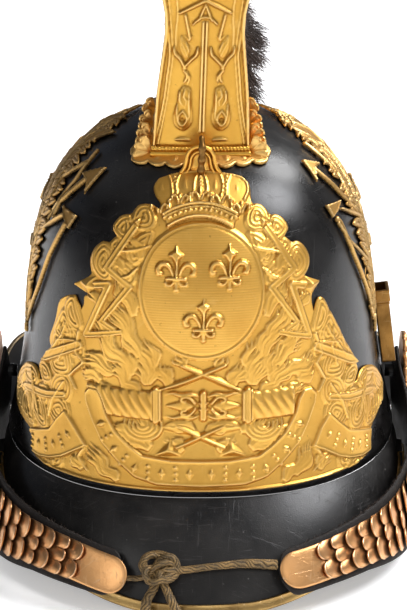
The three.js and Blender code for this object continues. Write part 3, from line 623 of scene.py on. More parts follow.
def makeLeather(name, look):
    material, tree = newMaterial(name)
    grain = useGroup(tree, leatherGrain, {"Scale": look["grainScale"], "Unevenness": look["unevenness"]})
    scratches = useGroup(tree, fineScratches, {"Scale": look["scratchScale"],
        "Amount": look["scratches"]})["Mask"]
    specks = useGroup(tree, paleSpecks, {"Scale": look["speckScale"], "Amount": look["specks"]})["Mask"]
    edge = useGroup(tree, wornEdge, {"Amount": look["edge"]})["Mask"]
    colour = mixColour(tree, grain["Mottle"], (*look["dark"], 1), (*look["light"], 1))
    for share, tone in ((edge, "worn"), (times(tree, scratches, 0.5), "worn"), (specks, "speck")):
        colour = mixColour(tree, share, colour, (*look[tone], 1))
    rough = plus(tree, look["roughness"], times(tree, grain["Mottle"], look["mottle"]))
    height = mathNode(tree, "SUBTRACT", grain["Height"], times(tree, scratches, 0.4))
    return finishMaterial(material, {"Base Color": colour, "Roughness": plus(tree, rough,
        times(tree, scratches, 0.2), True), "Normal": bumpOf(tree, height, look["bump"], look["depth"]),
        "Coat Weight": look["coat"], "Coat Roughness": look["coatRoughness"],
        "Specular IOR Level": look["specular"]})


gilt = {"bright": (0.80, 0.455, 0.096), "dull": (0.68, 0.36, 0.066), "dirt_shade": (0.27, 0.125, 0.018),
    "wear_highlight": (0.97, 0.71, 0.30), "patches": 0.85, "patchScale": 34, "polish": 0.35, "grimeAndShade": 1.0,
    "scratches": 0.25, "bump": 0.35, "edge": 0.3}
giltPlate = makeMetal("giltPlate", gilt)
giltCrest = makeMetal("giltCrest", {**gilt, "bright": (0.67, 0.372, 0.066), "dull": (0.55, 0.285, 0.045)})
giltPale = makeMetal("giltPale", {**gilt, "bright": (0.84, 0.52, 0.165), "dull": (0.70, 0.42, 0.13)})
dullBronze = makeMetal("dullBronze", {"bright": (0.62, 0.355, 0.10), "dull": (0.46, 0.25, 0.068),
    "dirt_shade": (0.035, 0.018, 0.006), "wear_highlight": (0.92, 0.70, 0.36), "patches": 0.8, "patchScale": 70,
    "polish": 0.42, "grimeAndShade": 1.0, "scratches": 0.3, "bump": 0.5, "edge": 0.5})
scaleBrass = makeMetal("scaleBrass", {"bright": (0.80, 0.43, 0.19), "dull": (0.62, 0.30, 0.115),
    "dirt_shade": (0.09, 0.04, 0.018), "wear_highlight": (0.98, 0.76, 0.52), "patches": 0.8, "patchScale": 90,
    "polish": 0.33, "grimeAndShade": 0.9, "scratches": 0.5, "bump": 0.4, "edge": 0.5})
tongueBrass = makeMetal("tongueBrass", {"bright": (0.74, 0.40, 0.17), "dull": (0.66, 0.34, 0.13),
    "dirt_shade": (0.20, 0.09, 0.03), "wear_highlight": (1.0, 0.82, 0.58), "patches": 0.6, "patchScale": 70, "polish": 0.3,
    "grimeAndShade": 0.8, "scratches": 0.8, "bump": 0.4, "edge": 0.5})
socketBrass = makeMetal("socketBrass", {"bright": (0.29, 0.15, 0.04), "dull": (0.14, 0.07, 0.018),
    "dirt_shade": (0.05, 0.026, 0.01), "wear_highlight": (0.78, 0.55, 0.27), "patches": 0.9, "patchScale": 60,
    "polish": 0.36, "grimeAndShade": 0.8, "scratches": 0.6, "bump": 0.5, "edge": 0.6})
bindingBrass = makeMetal("bindingBrass", {"bright": (0.52, 0.345, 0.13), "dull": (0.23, 0.14, 0.05),
    "dirt_shade": (0.06, 0.035, 0.014), "wear_highlight": (0.92, 0.76, 0.50), "patches": 0.9, "patchScale": 60,
    "polish": 0.28, "grimeAndShade": 0.8, "scratches": 0.7, "bump": 0.5, "edge": 0.7})
blackLeather = {"dark": (0.003, 0.0027, 0.0026), "light": (0.009, 0.008, 0.0075),
    "worn": (0.055, 0.05, 0.048), "speck": (0.16, 0.15, 0.14), "grainScale": 900, "unevenness": 1.0,
    "scratchScale": 36, "scratches": 0.35, "speckScale": 260, "specks": 0.3, "edge": 0.25,
    "roughness": 0.25, "mottle": 0.12, "bump": 0.28, "depth": 0.0009, "coat": 0.12, "coatRoughness": 0.2,
    "specular": 0.32}
bowlLeather = makeLeather("bowlLeather", blackLeather)
peakLeather = makeLeather("peakLeather", {**blackLeather, "light": (0.013, 0.0115, 0.0105),
    "roughness": 0.33, "scratches": 0.6, "specks": 0.55, "scratchScale": 60})
liningLeather = makeLeather("liningLeather", {**blackLeather, "dark": (0.009, 0.007, 0.006),
    "light": (0.022, 0.017, 0.014), "roughness": 0.62, "mottle": 0.2, "coat": 0.0, "bump": 0.6,
    "depth": 0.0012, "grainScale": 500, "edge": 0.4, "specular": 0.3})
print("finishes ready")


# Cords and their knot.
cordSet = {
    "left": [(-37.6, -149.2, 19.2), (-33.4, -150.4, 19.6), (-29.4, -151.4, 20.2)],
    "right": [(37.6, -145.4, 24.6), (22, -147.6, 26.2), (10, -149.6, 26), (0, -150.6, 25.2),
              (-9, -151.4, 24.4)],
    "leftTail": [(-22.4, -155.2, 17.6), (-26.2, -158, 11), (-27, -161.4, 6), (-28, -166, 2.6),
                 (-28.6, -174, 2.4)],
    "rightTail": [(-17, -155.8, 16.9), (-14, -159.8, 11.4), (-10.6, -163.4, 6.4), (-7.6, -168, 2.7),
                  (-4.4, -176, 2.4)],
    "knot": (-20, -151.4, 25.6), "knotTilt": -0.62, "diameter": 4.0,
    # middle, half sizes, lean, depth and phase of its waves, and thickness of each loop of the knot
    "loops": [(-2.8, 0.3, 1.4, 5.6, 5.0, 0.3, 1.2, 0.0, 1.9),
              (3.2, -0.6, -0.6, 5.2, 6.2, -0.5, 1.3, 1.2, 1.9),
              (0.6, -1.4, -2.6, 7.2, 3.6, 0.55, 1.5, 2.4, 1.8),
              (-0.6, 0.9, 2.2, 7.4, 5.2, -0.2, 1.1, 3.6, 1.8),
              (-3.4, -1.6, -3.8, 3.2, 4.0, 0.9, 1.2, 0.8, 1.7)],
}


def makeCordMaterial():
    material, tree = newMaterial("goldThreadCord")
    place = objectPlace(tree)
    wear = remap(tree, noiseOf(tree, place, 190, 3), 0.4, 0.62)
    tone = mixColour(tree, wear, (0.26, 0.155, 0.05, 1), (0.085, 0.055, 0.023, 1))
    thread = remap(tree, noiseOf(tree, place, 2600, 2, 0.7), 0.35, 0.7)
    tone = mixColour(tree, times(tree, thread, 0.5), tone, (0.42, 0.28, 0.12, 1))
    # The hollows between the plies are painted nearly black, as painted shade.
    groove = times(tree, meshValue(tree, "recess"), 0.95, True)
    return finishMaterial(material, {"Base Color": mixColour(tree, groove, tone, (0.018, 0.011, 0.006, 1)),
        "Roughness": 0.5, "Metallic": 0.35, "Normal": bumpOf(tree, thread, 0.5, 0.00025)})


goldThreadCord = makeCordMaterial()


# A cord of slack threads: plies run along it in a slow twist, and the hollows between them are recesses,
# painted dark as shade.
def threadTube(path, radii, around=26, plies=6, twist=24.0, closed=False):
    length = runLengths(path)
    wander = np.sin(length * 0.9) * 0.35 + np.sin(length * 0.37 + 1) * 0.5

    def ridges(i, angle):
        return np.abs(np.sin((angle + fullTurn * length[i] / twist + wander[i]) * plies / 2))

    def shape(i, angle):
        fine = np.sin(angle * plies - fullTurn * length[i] / 1.25)
        return (0.76 + 0.32 * ridges(i, angle) ** 0.6 + 0.035 * fine) * (1 - 0.16 * np.abs(np.sin(angle)))
    points, faces = sweepTube(path, radii, around, shape=shape, closed=closed)
    turn = np.linspace(0, fullTurn, around, endpoint=False)[None, :]
    recess = np.clip((0.66 - ridges(np.arange(len(path))[:, None], turn)) / 0.4, 0, 1)
    return points, faces, recess.ravel()


def makeCord(name, knots, widths, replaced):
    route = smoothPath(knots, 30)
    length = runLengths(route)[-1]
    path = smoothPath(route, int(length / 0.28))
    share = np.linspace(0, 1, len(path))
    radii = np.interp(share, np.linspace(0, 1, len(widths)), widths) / 2
    frayed = np.clip((share - 0.985) / 0.015, 0, 1)
    points, faces, recess = threadTube(path, radii * (1 - 0.3 * frayed))
    made = makeMesh(name, points, faces, goldThreadCord, "cord", replaced, {"recess": recess}, 80)
    tuple(inFrame([knots[0]])[0])
    [tuple(p) for p in inFrame(route)]


def makeKnot():
    steps = 150
    t = np.linspace(0, fullTurn, steps, endpoint=False)
    cos, sin = math.cos(cordSet["knotTilt"]), math.sin(cordSet["knotTilt"])
    turned = np.array([[1, 0, 0], [0, cos, -sin], [0, sin, cos]])
    parts, recesses = [], []
    for x, y, z, wide, tall, lean, depth, phase, radius in cordSet["loops"]:
        across, up = wide * np.cos(t), tall * np.sin(t)
        path = np.stack([x + across * math.cos(lean) - up * math.sin(lean),
            y + depth * np.sin(2 * t + phase), z + across * math.sin(lean) + up * math.cos(lean)], -1)
        path = path @ turned.T + np.array(cordSet["knot"])
        points, faces, recess = threadTube(path, np.full(steps, radius), 22, closed=True)
        parts.append((points, faces))
        recesses.append(recess)
    return makeMesh("cord_knot", *joined(parts), goldThreadCord, "cord", ["tie_knot"],
        {"recess": np.concatenate(recesses)})


cordKnot = makeKnot()
throughLeft = [(-16, -152.6, 24.8), (-22.4, -153.4, 22)]
throughRight = [(-24, -152.4, 22.6), (-19.4, -153.6, 21.4)]
makeCord("long_cord", cordSet["right"] + throughLeft + cordSet["leftTail"],
    [5.6, 5.2, 4.4, 3.8, 3.9, 4.4, 4.6, 4.8, 5.0, 4.8], ["tie_cord_right", "tie_end_left"])
makeCord("short_cord", cordSet["left"] + throughRight + cordSet["rightTail"],
    [2.8, 3.2, 3.8, 4.2, 4.8, 5.0, 4.8], ["tie_cord_left", "tie_end_right"])
print("cords made")


# Front plate.
frontPlate = {
    "stand": 0.5, "thickness": 0.4, "lower": 2.6,
    "right": [(60, 3), (103.5, 3.8), (104.5, 10), (107, 17), (120, 19.4), (132.5, 24.2), (136.2, 30.6),
              (130, 37),
              (120, 43.3), (108.8, 47.4), (100, 48.2), (93.8, 43.2), (89.4, 43.4), (89.6, 51.2), (95.4, 53),
              (92.4, 57), (86.3, 64), (82.5, 68.6), (75.4, 80), (70.4, 86.6), (67.5, 92.4), (63.8, 94.6),
              (61.6, 93.1), (60, 87.8), (57.4, 96.6), (64.2, 102), (53.6, 106.8), (57.4, 112.4),
              (57.4, 116.6),
              (53.8, 122), (49.2, 124.7), (47, 123.7), (45.2, 125.6), (42.2, 128), (45, 130), (44.9, 133.2),
              (41.3, 137.6), (37.5, 139.4), (34.7, 139.2), (31.8, 144.4), (28, 146.2), (25, 146), (25, 155),
              (23.8, 159.4), (18, 164.4), (10.3, 165.9)],
    "left": [(60, 3), (100.5, 3.4), (101.5, 9), (104, 16), (122, 17), (140, 19.4), (143, 23.5), (139.4, 30),
             (135, 34), (125, 39.2), (115, 43.4), (106, 44.6), (98.2, 42.6), (93, 46), (101, 50), (88, 63),
             (89.8, 64.2), (90, 68), (84, 78), (82.2, 88), (75, 92.4), (69.4, 94.1), (66.3, 91.6),
             (63.8, 88.2),
             (61.8, 91.4), (62.4, 94.8), (59, 96.6), (69.8, 99.4), (56.4, 106.2), (58.2, 109.6),
             (58.4, 115.8),
             (54.4, 121.6), (48.8, 124.4), (44.6, 123.6), (40.2, 126.4), (42.2, 127.4), (45, 131.5),
             (40, 138), (34.6, 139.6), (31, 144), (24.4, 146.8), (20.2, 143.4), (19.6, 147), (22, 150),
             (23.8, 155), (21.9, 159.5), (20, 161.8), (12.5, 165.2)],
}
crown = {"top": 168.2, "circletTop": 147.0, "circletLow": 140.4, "halfTop": 18, "halfLow": 15.6}
medallion = {"x": 0.6, "y": 103.4, "halfWidth": 30.4, "halfHeight": 33.0, "groove": 1.26}
boltWidth = 3.5


# Both sides are drawn on the right; the left one spreads a little wider between its clouds.
def widened(x, y):
    reach = min(max((abs(x) - 45) / 20, 0), 1)
    if y > 60:
        band = min(max((y - 60) / 15, 0), 1) * min(max((104 - y) / 12, 0), 1)
        return x - 6.2 * reach * band
    return x - 5.0 * reach * min(max((y - 18) / 12, 0), 1)


def mirroredPair(points):
    return [points, [(widened(-x, y), y) for x, y in points]]


def strokePair(relief, points, *look, **settings):
    for line in mirroredPair(points):
        relief.stroke(line, *look, **settings)


def flameTuft(relief, dice, root, tip, width, strands, curl):
    root, tip = np.array(root, float), np.array(tip, float)
    along = tip - root
    side = np.array([-along[1], along[0]]) / max(np.linalg.norm(along), 1e-6)
    strands = round(strands * 1.7)
    start = dice.uniform(-0.25, 0.25)
    for i in range(strands):
        fan = (i + 0.5) / strands * 2 - 1
        reach = (1 - 0.3 * fan * fan) * dice.uniform(0.9, 1.08)
        phase = start + dice.uniform(-0.07, 0.07)
        points = []
        for t in np.linspace(0, 1, 7):
            sway = curl * math.sin(fullTurn * (0.95 * t + phase)) * min(1, 2.5 * t)
            spread = fan * width * (0.34 + 0.66 * math.sin(math.pi * t * 0.62))
            points.append(root + along * t * reach + side * (spread + sway))
        relief.stroke(points, 1.95, dice.uniform(0.68, 0.98), (0.5, 0.04), base=0.35)


# Root, tip, half width, strands and curl of each tuft of flames on the right side.
flames = [
    ((33, 90), (41, 111), 4.5, 4, 1.5), ((34, 78), (46, 97), 5, 5, 1.8), ((30, 70), (39, 88), 5, 4, 1.6),
    ((37, 66), (52, 79), 5, 5, 1.8), ((22, 66), (27, 80), 4, 3, 1.4), ((44, 60), (62, 66), 5, 5, 1.9),
    ((26, 56), (28, 70), 6, 5, 1.6), ((16, 56), (19, 68), 4, 3, 1.4), ((36, 55), (44, 68), 5.5, 5, 1.8),
    ((50, 55), (60, 60), 4, 4, 1.5), ((8, 66), (12, 72), 4, 2, 1.0), ((38, 112), (47, 121), 3.5, 3, 1.2),
    ((29, 118), (36, 131), 4, 4, 1.4), ((50, 92), (57, 101), 3.5, 3, 1.2), ((25, 24), (40, 35), 6, 6, 1.7),
    ((34, 27), (47, 34), 5, 4, 1.5), ((20, 33), (34, 38), 4, 4, 1.4), ((48, 8), (58, 22), 5, 5, 1.6),
    ((42, 6), (50, 14), 3.5, 4, 1.3), ((36, 97), (44, 104), 3.5, 3, 1.2), ((45, 70), (52, 90), 4, 4, 1.7),
    ((24, 60), (30, 76), 4, 4, 1.5), ((34, 60), (38, 74), 4, 4, 1.6), ((62, 8), (68, 16), 4.5, 4, 1.4),
    ((82, 5), (86, 9), 4, 3, 1.0), ((9, 23), (17, 30), 4, 4, 1.3), ((14, 58), (23, 66), 4, 4, 1.4),
    ((30, 51), (41, 58), 4, 4, 1.4), ((44, 48), (54, 55), 4, 3, 1.2), ((3, 33), (14, 38), 4, 3, 1.0),
]
# Closed lobes of cloud, and how high each stands.
clouds = [
    ([(95, 40), (95, 45), (100, 47.8), (108.5, 47), (118, 43.2), (112, 36), (102, 36)], 1.1),
    ([(112, 44), (120, 42.8), (129.6, 36.6), (135.6, 30.6), (132, 24.8), (122, 27), (114, 34)], 1.0),
    ([(72, 70), (79.6, 72), (83.6, 66), (87, 62.6), (82, 57), (74, 60)], 1.0),
    ([(62, 77), (67, 84), (71, 85.6), (75.4, 79.4), (79.6, 72), (72, 68), (64, 70)], 1.0),
    ([(58, 80), (60.4, 87.8), (62, 92.6), (64, 94.2), (67.3, 91.8), (70, 86.2), (67, 79), (61, 76)], 1.1),
    ([(47, 105), (53, 106), (57, 111), (57, 116.4), (53.6, 121.6), (49, 124.2), (44, 121), (42, 113)], 1.2),
    ([(39, 121), (41.6, 127.6), (45, 125.4), (46.8, 122.6), (43, 119)], 0.9),
    ([(33, 133), (35, 138.8), (38, 139), (41.2, 137.2), (44.6, 133), (44.4, 129.8), (40, 126), (35, 127)],
     1.1),
    ([(21.5, 139), (24, 145), (28, 145.8), (31.6, 144), (34.2, 139), (33, 133), (27, 131.6), (22.6, 134)],
     1.1),
    ([(22.6, 131.6), (27, 131.6), (33, 127.4), (37.6, 120.4), (34, 114.6), (29, 116.6), (26, 121)], 0.8),
    ([(31, 108.4), (33.4, 114.8), (39.4, 116.4), (44.6, 112), (40.4, 105.8), (34.8, 103.8)], 0.8),
    ([(84, 42), (90, 42.6), (97, 38), (92, 32), (84, 34)], 0.8),
    ([(60, 64), (58, 72), (61, 79), (67, 80), (72, 72), (70, 63)], 0.8),
    ([(66, 52), (64, 60), (70, 67), (78, 65), (84, 58), (79, 50)], 0.9),
    ([(80, 46), (84, 53), (92, 54), (95, 49), (89, 43)], 0.8),
    ([(66, 40), (64, 49), (70, 54), (79, 50), (82, 42), (74, 37)], 0.8),
    ([(68, 27), (66, 37), (73, 42), (82, 38), (84, 30), (76, 24)], 0.8),
    ([(86, 22), (84, 31), (91, 38), (101, 35), (102, 26), (94, 20)], 0.9),
    ([(100, 19), (99, 31), (106, 38), (117, 34), (119, 24), (110, 18)], 0.9),
    ([(76, 5), (74, 11), (80, 15), (90, 10), (92, 4), (84, 3)], 0.7),
]


def addGround(relief):
    dice = random.Random(11)
    for root, tip, width, strands, curl in flames:
        for side, ends in zip((1, -1), mirroredPair([root, tip])):
            flameTuft(relief, dice, *ends, width, strands, side * curl)
    for outline, height in clouds:
        for points in mirroredPair(outline):
            relief.cloud(points, height)
    strokePair(relief, [(24, 125), (30, 122.6), (37, 121), (45, 119.6)], 1.8, 1.5)
    strokePair(relief, [(31, 113.6), (36, 109), (43, 107.4)], 1.8, 1.4)


# Bolts on the right side: points, width, height, how each end tapers, section. Heads: points, level, slope.
bolts = [
    ([(31.5, 134.6), (47.6, 111.4), (35.2, 103.8), (49.2, 84.8), (43.4, 81.8)], boltWidth, 1.5, (1, 0.8),
     "band"),
    ([(28.2, 139.8), (36.4, 134.6), (33.2, 135.2), (30.4, 132.6)], 2.1, 1.5),
    ([(57, 101.2), (46.4, 103.6), (56.4, 76.4), (40, 81)], boltWidth, 1.5, (1, 0.8), "band"),
    ([(64.0, 101.6), (53.6, 106.6), (55.6, 102.4), (53.2, 100.2), (57, 96.8)], 2.2, 2.4),
    ([(95.2, 53.2), (86, 57.4), (61, 70)], 5.6, 1.7, (0.08, 0.9), "band"),
    ([(83, 60), (72, 72), (68, 79)], 2.0, 1.7, (1, 0.4), "roof"),
    ([(60, 77), (64, 66), (60.4, 62), (66, 53), (62.4, 47)], 2.4, 1.7, (1, 0.3), "roof"),
    ([(72.5, 78), (71.5, 66), (75, 58)], 1.9, 1.7, (0.6, 0.5), "roof"),
    ([(62, 72), (70, 70.5), (79, 68)], 1.9, 1.7, (0.6, 0.5), "roof"),
    ([(118, 33), (100, 36.4), (84, 38.6), (70, 42.4)], 4.4, 1.6, (0.05, 0.8), "band"),
    ([(104, 45), (97, 34), (93, 26)], 3.0, 1.6, (0.7, 0.5), "band"),
    ([(70, 49), (79, 37), (83, 28)], 2.6, 1.6, (0.6, 0.5), "roof"),
    ([(66, 24), (60, 20), (64, 14), (59, 8)], 2.6, 1.6, (0.8, 0.3), "roof"),
]
bolts += [([(106 + 4.2 * k, 20.6 + 0.5 * k), (110.5 + 4.2 * k, 29.5 + 0.5 * k)], 2.0, 1.3, (0.9, 0.6),
    "roof") for k in range(6)]


def addBolts(relief):
    for points, *look in bolts:
        for line in mirroredPair(points):
            if len(look) == 2:
                relief.sheet(line, *look, smooth=False)
            else:
                relief.stroke(line, *look, smooth=False, over=look[-1] == "band", base=0.5)


# The bundle that the bolts spring from: two fluted rolls with collars, and leaves bound between them.
def addBundle(relief):
    for low, high in ((-59, -24), (25.4, 47)):
        area, places, far = relief.depth([(low, 38.2), (high, 38.2), (high, 52.6), (low, 52.6)],
            smooth=False)
        x, y = places[..., 0], places[..., 1] - 45.4
        barrel = 1.8 * np.sqrt(np.clip(1 - (y / 7.4) ** 2, 0, 1))
        flute = np.abs(np.sin(math.pi * (x + 0.36 * y + 0.9 * np.sin(y * 0.3)) / 4.7)) ** 0.8
        relief.put(area, 0.35 + barrel + 0.85 * flute, far > 0, True)
    relief.sheet([(-20.3, 39.2), (21.6, 39.2), (21.6, 53), (-20.3, 53)], 0.4, smooth=False)
    for x in (-21.8, 23.2):
        relief.stroke([(x, 38), (x, 53.6)], 3.6, 2.6, (1, 1), "flat", over=True, base=0.4)
        for offset in (-2.0, 2.0):
            relief.stroke([(x + offset, 38.4), (x + offset, 53.2)], 1.2, 2.5, (1, 1))
    for side, middle in ((-1, 0.4), (1, 2.4)):
        def turned(points):
            return [(middle + side * x, y) for x, y in points]
        leaf = [(3, 46), (7, 49), (12, 48.6), (18.4, 46), (12, 43.4), (7, 43)]
        relief.sheet(turned(leaf), 1.7, rise=1.7, rim=0.35)
        for points, width, height, ends in (([(1.4, 50.8), (5, 52), (10, 51.4), (14, 52.4), (18, 51.4)],
                2.5, 1.5, (0.35, 0.1)), ([(1.4, 41.2), (5, 40), (10, 40.6), (14, 39.8), (18, 40.8)], 2.5,
                1.4, (0.35, 0.1)), ([(3, 47.4), (6, 50.4), (9.4, 50.2), (9.8, 48.6), (7.8, 48.2)], 1.7, 1.8,
                (1, 0.9)), ([(3, 44.6), (6, 41.6), (9.4, 41.8), (9.8, 43.4), (7.8, 43.8)], 1.7, 1.8,
                (1, 0.9))):
            relief.stroke(turned(points), width, height, ends)
    relief.stroke([(1.4, 40), (1.4, 52.2)], 3.8, 2.2, (1, 1), "flat", over=True, base=0.4)
    for y in (44.4, 47.6):
        relief.stroke([(-0.6, y), (3.4, y)], 0.8, 2.9, (1, 1), base=0)


def addArrows(relief):
    relief.stroke([(20, 53.4), (9, 58.8), (-9, 66.4)], 3.2, 1.7, (0.2, 0.8), "roof", False, base=0.6)
    relief.stroke([(-20, 53.8), (-8, 58.2), (12, 66.6)], 3.2, 1.8, (0.2, 0.8), "roof", False, base=0.6)
    relief.sheet([(6, 57.6), (16.6, 52.8), (14.6, 57.4), (8.4, 60.6)], 2.2, 2, smooth=False, clear=False)
    for side in (1, -1):
        relief.stroke([(-side * 12, 36.2), (side * 13.4, 24.2)], 3.0, 1.9, (0.9, 0.9), "roof", base=0.6)
        head = [(23, 20.3), (14.4, 29.8), (13.4, 26.2), (10.6, 22.8), (9.2, 20.5)]
        relief.sheet([(side * x, y) for x, y in head], 2.3, 2.6, smooth=False)
    for side, start in ((1, 1.4), (-1, 0.4)):
        leaf = [(1.6, 32.8), (6, 38), (12, 39.2), (18, 37), (18.6, 33.8), (9, 32)]
        relief.sheet([(start + side * x, y) for x, y in leaf], 1.5, 2.2, rim=0.3, clear=False)
        relief.stroke([(start + side * x, y) for x, y in ((3, 33.6), (9, 36.2), (16.6, 35.6))], 1.1, -0.6)
    turns = np.radians(np.linspace(165, 375, 9))
    for side in (1, -1):
        for radius in (9.6, 7.2, 5.0, 2.8):
            ring = [(1.4 + side * (30 + radius * math.cos(a)), 35.8 + radius * 0.82 * math.sin(a))
                for a in turns]
            relief.stroke(ring, 2.2, 1.25, (0.5, 0.3), base=0.35)


# A run of lozenges between rows of three beads.
def addBandOrnament(relief, path, level, half, spacing, first):
    line = smoothPath(path, 160)
    length = runLengths(line)
    for number, far in enumerate(np.arange(first, length[-1] - 2, spacing)):
        here, ahead = (np.array([np.interp(place, length, line[:, k]) for k in (0, 1)]) for place in (far,
            far + 1))
        along = (ahead - here) / max(np.linalg.norm(ahead - here), 1e-6) * half
        across = np.array([-along[1], along[0]])
        if number % 2 == 0:
            corners = [here + across, here + along * 0.56, here - across, here - along * 0.56]
            relief.sheet(corners, level + 1.0, 1.5, smooth=False, clear=False)
        else:
            for offset in (-0.62, 0, 0.62):
                relief.bead(*(here + across * offset), 2.0, 0.95, level)


def addScroll(relief):
    for points in mirroredPair([(58, 20), (66, 15.8), (75, 10.6), (84, 7.4), (94, 5.4), (103, 5.6),
            (104, 11), (106, 16.6), (95, 19.4), (84, 22.6), (76, 29), (69, 35.4), (63, 29)]):
        relief.sheet(points, 1.3, 0.7, False, 0.5)
    for points in mirroredPair([(66, 26), (74, 19.4), (84, 14.6), (94, 12.2), (103, 11.4)]):
        addBandOrnament(relief, points, 1.3, 4.2, 6.6, 3.4)
    half = [(0, 5.0), (22, 5.6), (33, 8.6), (42, 15.6), (50.4, 23.4), (56, 33.2), (60, 42), (60.8, 47.2),
        (57.6, 50.6), (52.6, 50.4), (49.6, 46.4), (47.2, 39), (42.2, 31), (35.4, 25.2), (28.4, 20.6),
        (14, 19), (0, 18.8)]
    relief.sheet(half + mirrored(half[-2:0:-1]), 1.55, 0.8, False, 0.6, 1.0)
    for points in bothSides([(55, 47), (53, 38), (47.6, 29)]):
        relief.stroke(points, 6, -0.3, (1, 0.2))
    for points in bothSides([(51.6, 36), (46.4, 26), (39, 17.6), (31, 12.8), (20, 11.9), (0, 11.9)]):
        addBandOrnament(relief, points, 1.55, 4.9, 6.8, 3.2)


def addMedallion(relief):
    x, y = np.meshgrid(relief.x, relief.y)
    halfWidth, halfHeight = medallion["halfWidth"], medallion["halfHeight"]
    share = np.hypot((x - medallion["x"]) / halfWidth, (y - medallion["y"]) / halfHeight)
    far = (1 - share) * (halfWidth + halfHeight) / 2
    groove = 0.14 * np.cos(fullTurn * y / medallion["groove"]) * np.clip((far - 1.4) / 0.8, 0, 1)
    face = 0.85 + 1.2 * np.clip(1 - share ** 2, 0, 1) + groove
    ring = np.abs(far) < 1.5
    banked = np.where(share < 1, face, np.where(ring, np.minimum(relief.heights, 1.0), relief.heights))
    rim = 0.6 + 0.75 * np.exp(-(far / 0.4) ** 2)
    ditch = banked - 0.4 * np.exp(-((np.abs(far) - 1.0) / 0.35) ** 2)
    relief.heights = np.where(ring, np.maximum(ditch, rim), banked)


def addLily(relief, x, y, level):
    def at(points, side=1):
        return [(x + side * px, y + py) for px, py in points]
    bud = [(0, 13), (1.8, 10.4), (4.7, 8.4), (4.6, 6.2), (2.2, 3.4), (0.9, -3)]
    relief.sheet(at(bud + mirrored(bud[:0:-1])), level + 1.9, 2.3, clear=False)
    relief.stroke(at([(0, 12), (0.5, 6), (0, -3)]), 1.0, 2.3, (0.3, 0.8), base=level)
    for side in (1, -1):
        petal = at([(1.3, -3.6), (2.4, 0.2), (4.6, 2.8), (7.2, 2.7), (8.7, 0.7), (8.2, -1.6)], side)
        relief.stroke(petal, 2.7, 1.7, (0.35, 1.6), base=level)
        relief.bead(x + side * 7.4, y - 1.6, 2.3, 1.5, level)
        relief.stroke(at([(0.9, -5), (2.6, -7.2), (4.8, -7.0), (5.0, -5.8)], side), 1.5, 1.4, (0.8, 1.2),
            base=level)
    relief.stroke(at([(-4.3, -4), (4.3, -4)]), 2.0, 1.9, (1, 1), "flat", base=level)
    relief.stroke(at([(0, -5), (0, -9.6)]), 2.0, 1.5, (0.8, 0.8), base=level)
    relief.bead(x, y - 9.2, 2.6, 1.5, level)


def addCrown(relief):
    half = [(0, crown["top"]), (9, 166.6), (15, 165), (20.6, 162.4), (24, 157.6), (24.6, 152), (22.4, 147),
        (19, 141), (16.4, 134.6), (8, 138.6), (0, 139.8)]
    relief.sheet(half + mirrored(half[-2:0:-1]), 1.0, 0.8, smooth=False)
    for side, spread in ((1, 1), (-1, -1.08)):
        def at(points):
            return [(spread * x, y) for x, y in points]
        relief.sheet(at([(13.4, 150.6), (13.8, 158), (15.4, 162.8), (19.4, 161.6), (22, 157.8), (22.6, 153),
            (21, 149.6)]), 1.15, 4.5, clear=False)
        relief.sheet(at([(4, 152.5), (3.8, 160), (5.2, 164.6), (9, 163.6), (10.6, 160), (10.2, 153)]), 1.15,
            3.2, clear=False)
        for line in ([(12.7, 150), (13.2, 158), (14.4, 162.6)], [(10.4, 151), (10.9, 158), (9.6, 163.8)],
                [(3.2, 151), (3, 158), (2, 163), (0, 165.2)], [(21.4, 148), (23.4, 153), (22.8, 158),
                (19.6, 161.6), (14.6, 163.6), (8, 165.2), (0, 166.6)]):
            relief.stroke(at(line), 0.9, 0.5, (1, 0.8), base=1.1)
        for y in (152.6, 155.0, 157.4, 159.8, 162.2):
            relief.bead(side * (11.8 + 0.1 * (y - 153)), y, 1.4, 0.8, 1.1)
    for y in (155.6, 157.8, 160, 162.2):
        relief.bead(0, y, 1.5, 1.1, 1.3)

    def topArc(x):
        return crown["circletTop"] - 6.4 * (x / crown["halfTop"]) ** 2

    def lowArc(x):
        return crown["circletLow"] - 5.6 * (x / crown["halfLow"]) ** 2
    for number, x in enumerate(np.linspace(-15, 15, 13)):
        y = (topArc(x) + lowArc(x)) / 2
        if number % 2:
            lozenge = [(x - 1.5, y), (x, y + 1.6), (x + 1.5, y), (x, y - 1.6)]
            relief.sheet(lozenge, 2.9, 1.1, smooth=False, clear=False)
        else:
            relief.bead(x, y, 1.8, 1.3, 1.2)
    for arc, reach, offset, width, height in ((topArc, crown["halfTop"], 0, 1.4, 2.0),
            (topArc, crown["halfTop"], -1.7, 0.8, 1.5), (lowArc, crown["halfLow"], 0, 1.4, 2.0)):
        line = [(x, arc(x) + offset) for x in np.linspace(-reach, reach, 11)]
        relief.stroke(line, width, height, (1, 1), base=1.0)
    for number, x in enumerate(np.linspace(-20, 20, 9)):
        y = topArc(min(abs(x), 19)) + 0.6
        if number % 2:
            relief.stroke([(x, y + 0.4), (x, y + 4)], 1.0, 1.6, (1, 1), base=1.1)
            relief.bead(x, y + 4.6, 2.2, 1.8, 1.2)
            continue
        tall = 9.6 if x == 0 else 8.2
        leaf = [(0, tall), (1.9, tall - 2.8), (0.9, 1.5), (-0.9, 1.5), (-1.9, tall - 2.8)]
        relief.sheet([(x + px, y + py) for px, py in leaf], 2.5, 1.3, smooth=False, clear=False)
        for side in (1, -1):
            curl = [(x + side * px, y + py) for px, py in ((0.6, 1.4), (2.2, 5.2), (3.8, 4.8), (3.8, 3.2))]
            relief.stroke(curl, 1.1, 1.8, (0.8, 1), base=1.1)


# Rounds the corners of a closed outline, but leaves its sharp tips.
def rounded(points):
    points = np.array(points, float)
    before, after = np.roll(points, 1, 0) - points, np.roll(points, -1, 0) - points
    sharp = (unit(before) * unit(after)).sum(1) > 0.1
    ring = []
    for here, back, on, keep in zip(points, before, after, sharp):
        ring += [here] if keep else [here + back * 0.27, here + on * 0.27]
    return np.array(ring)


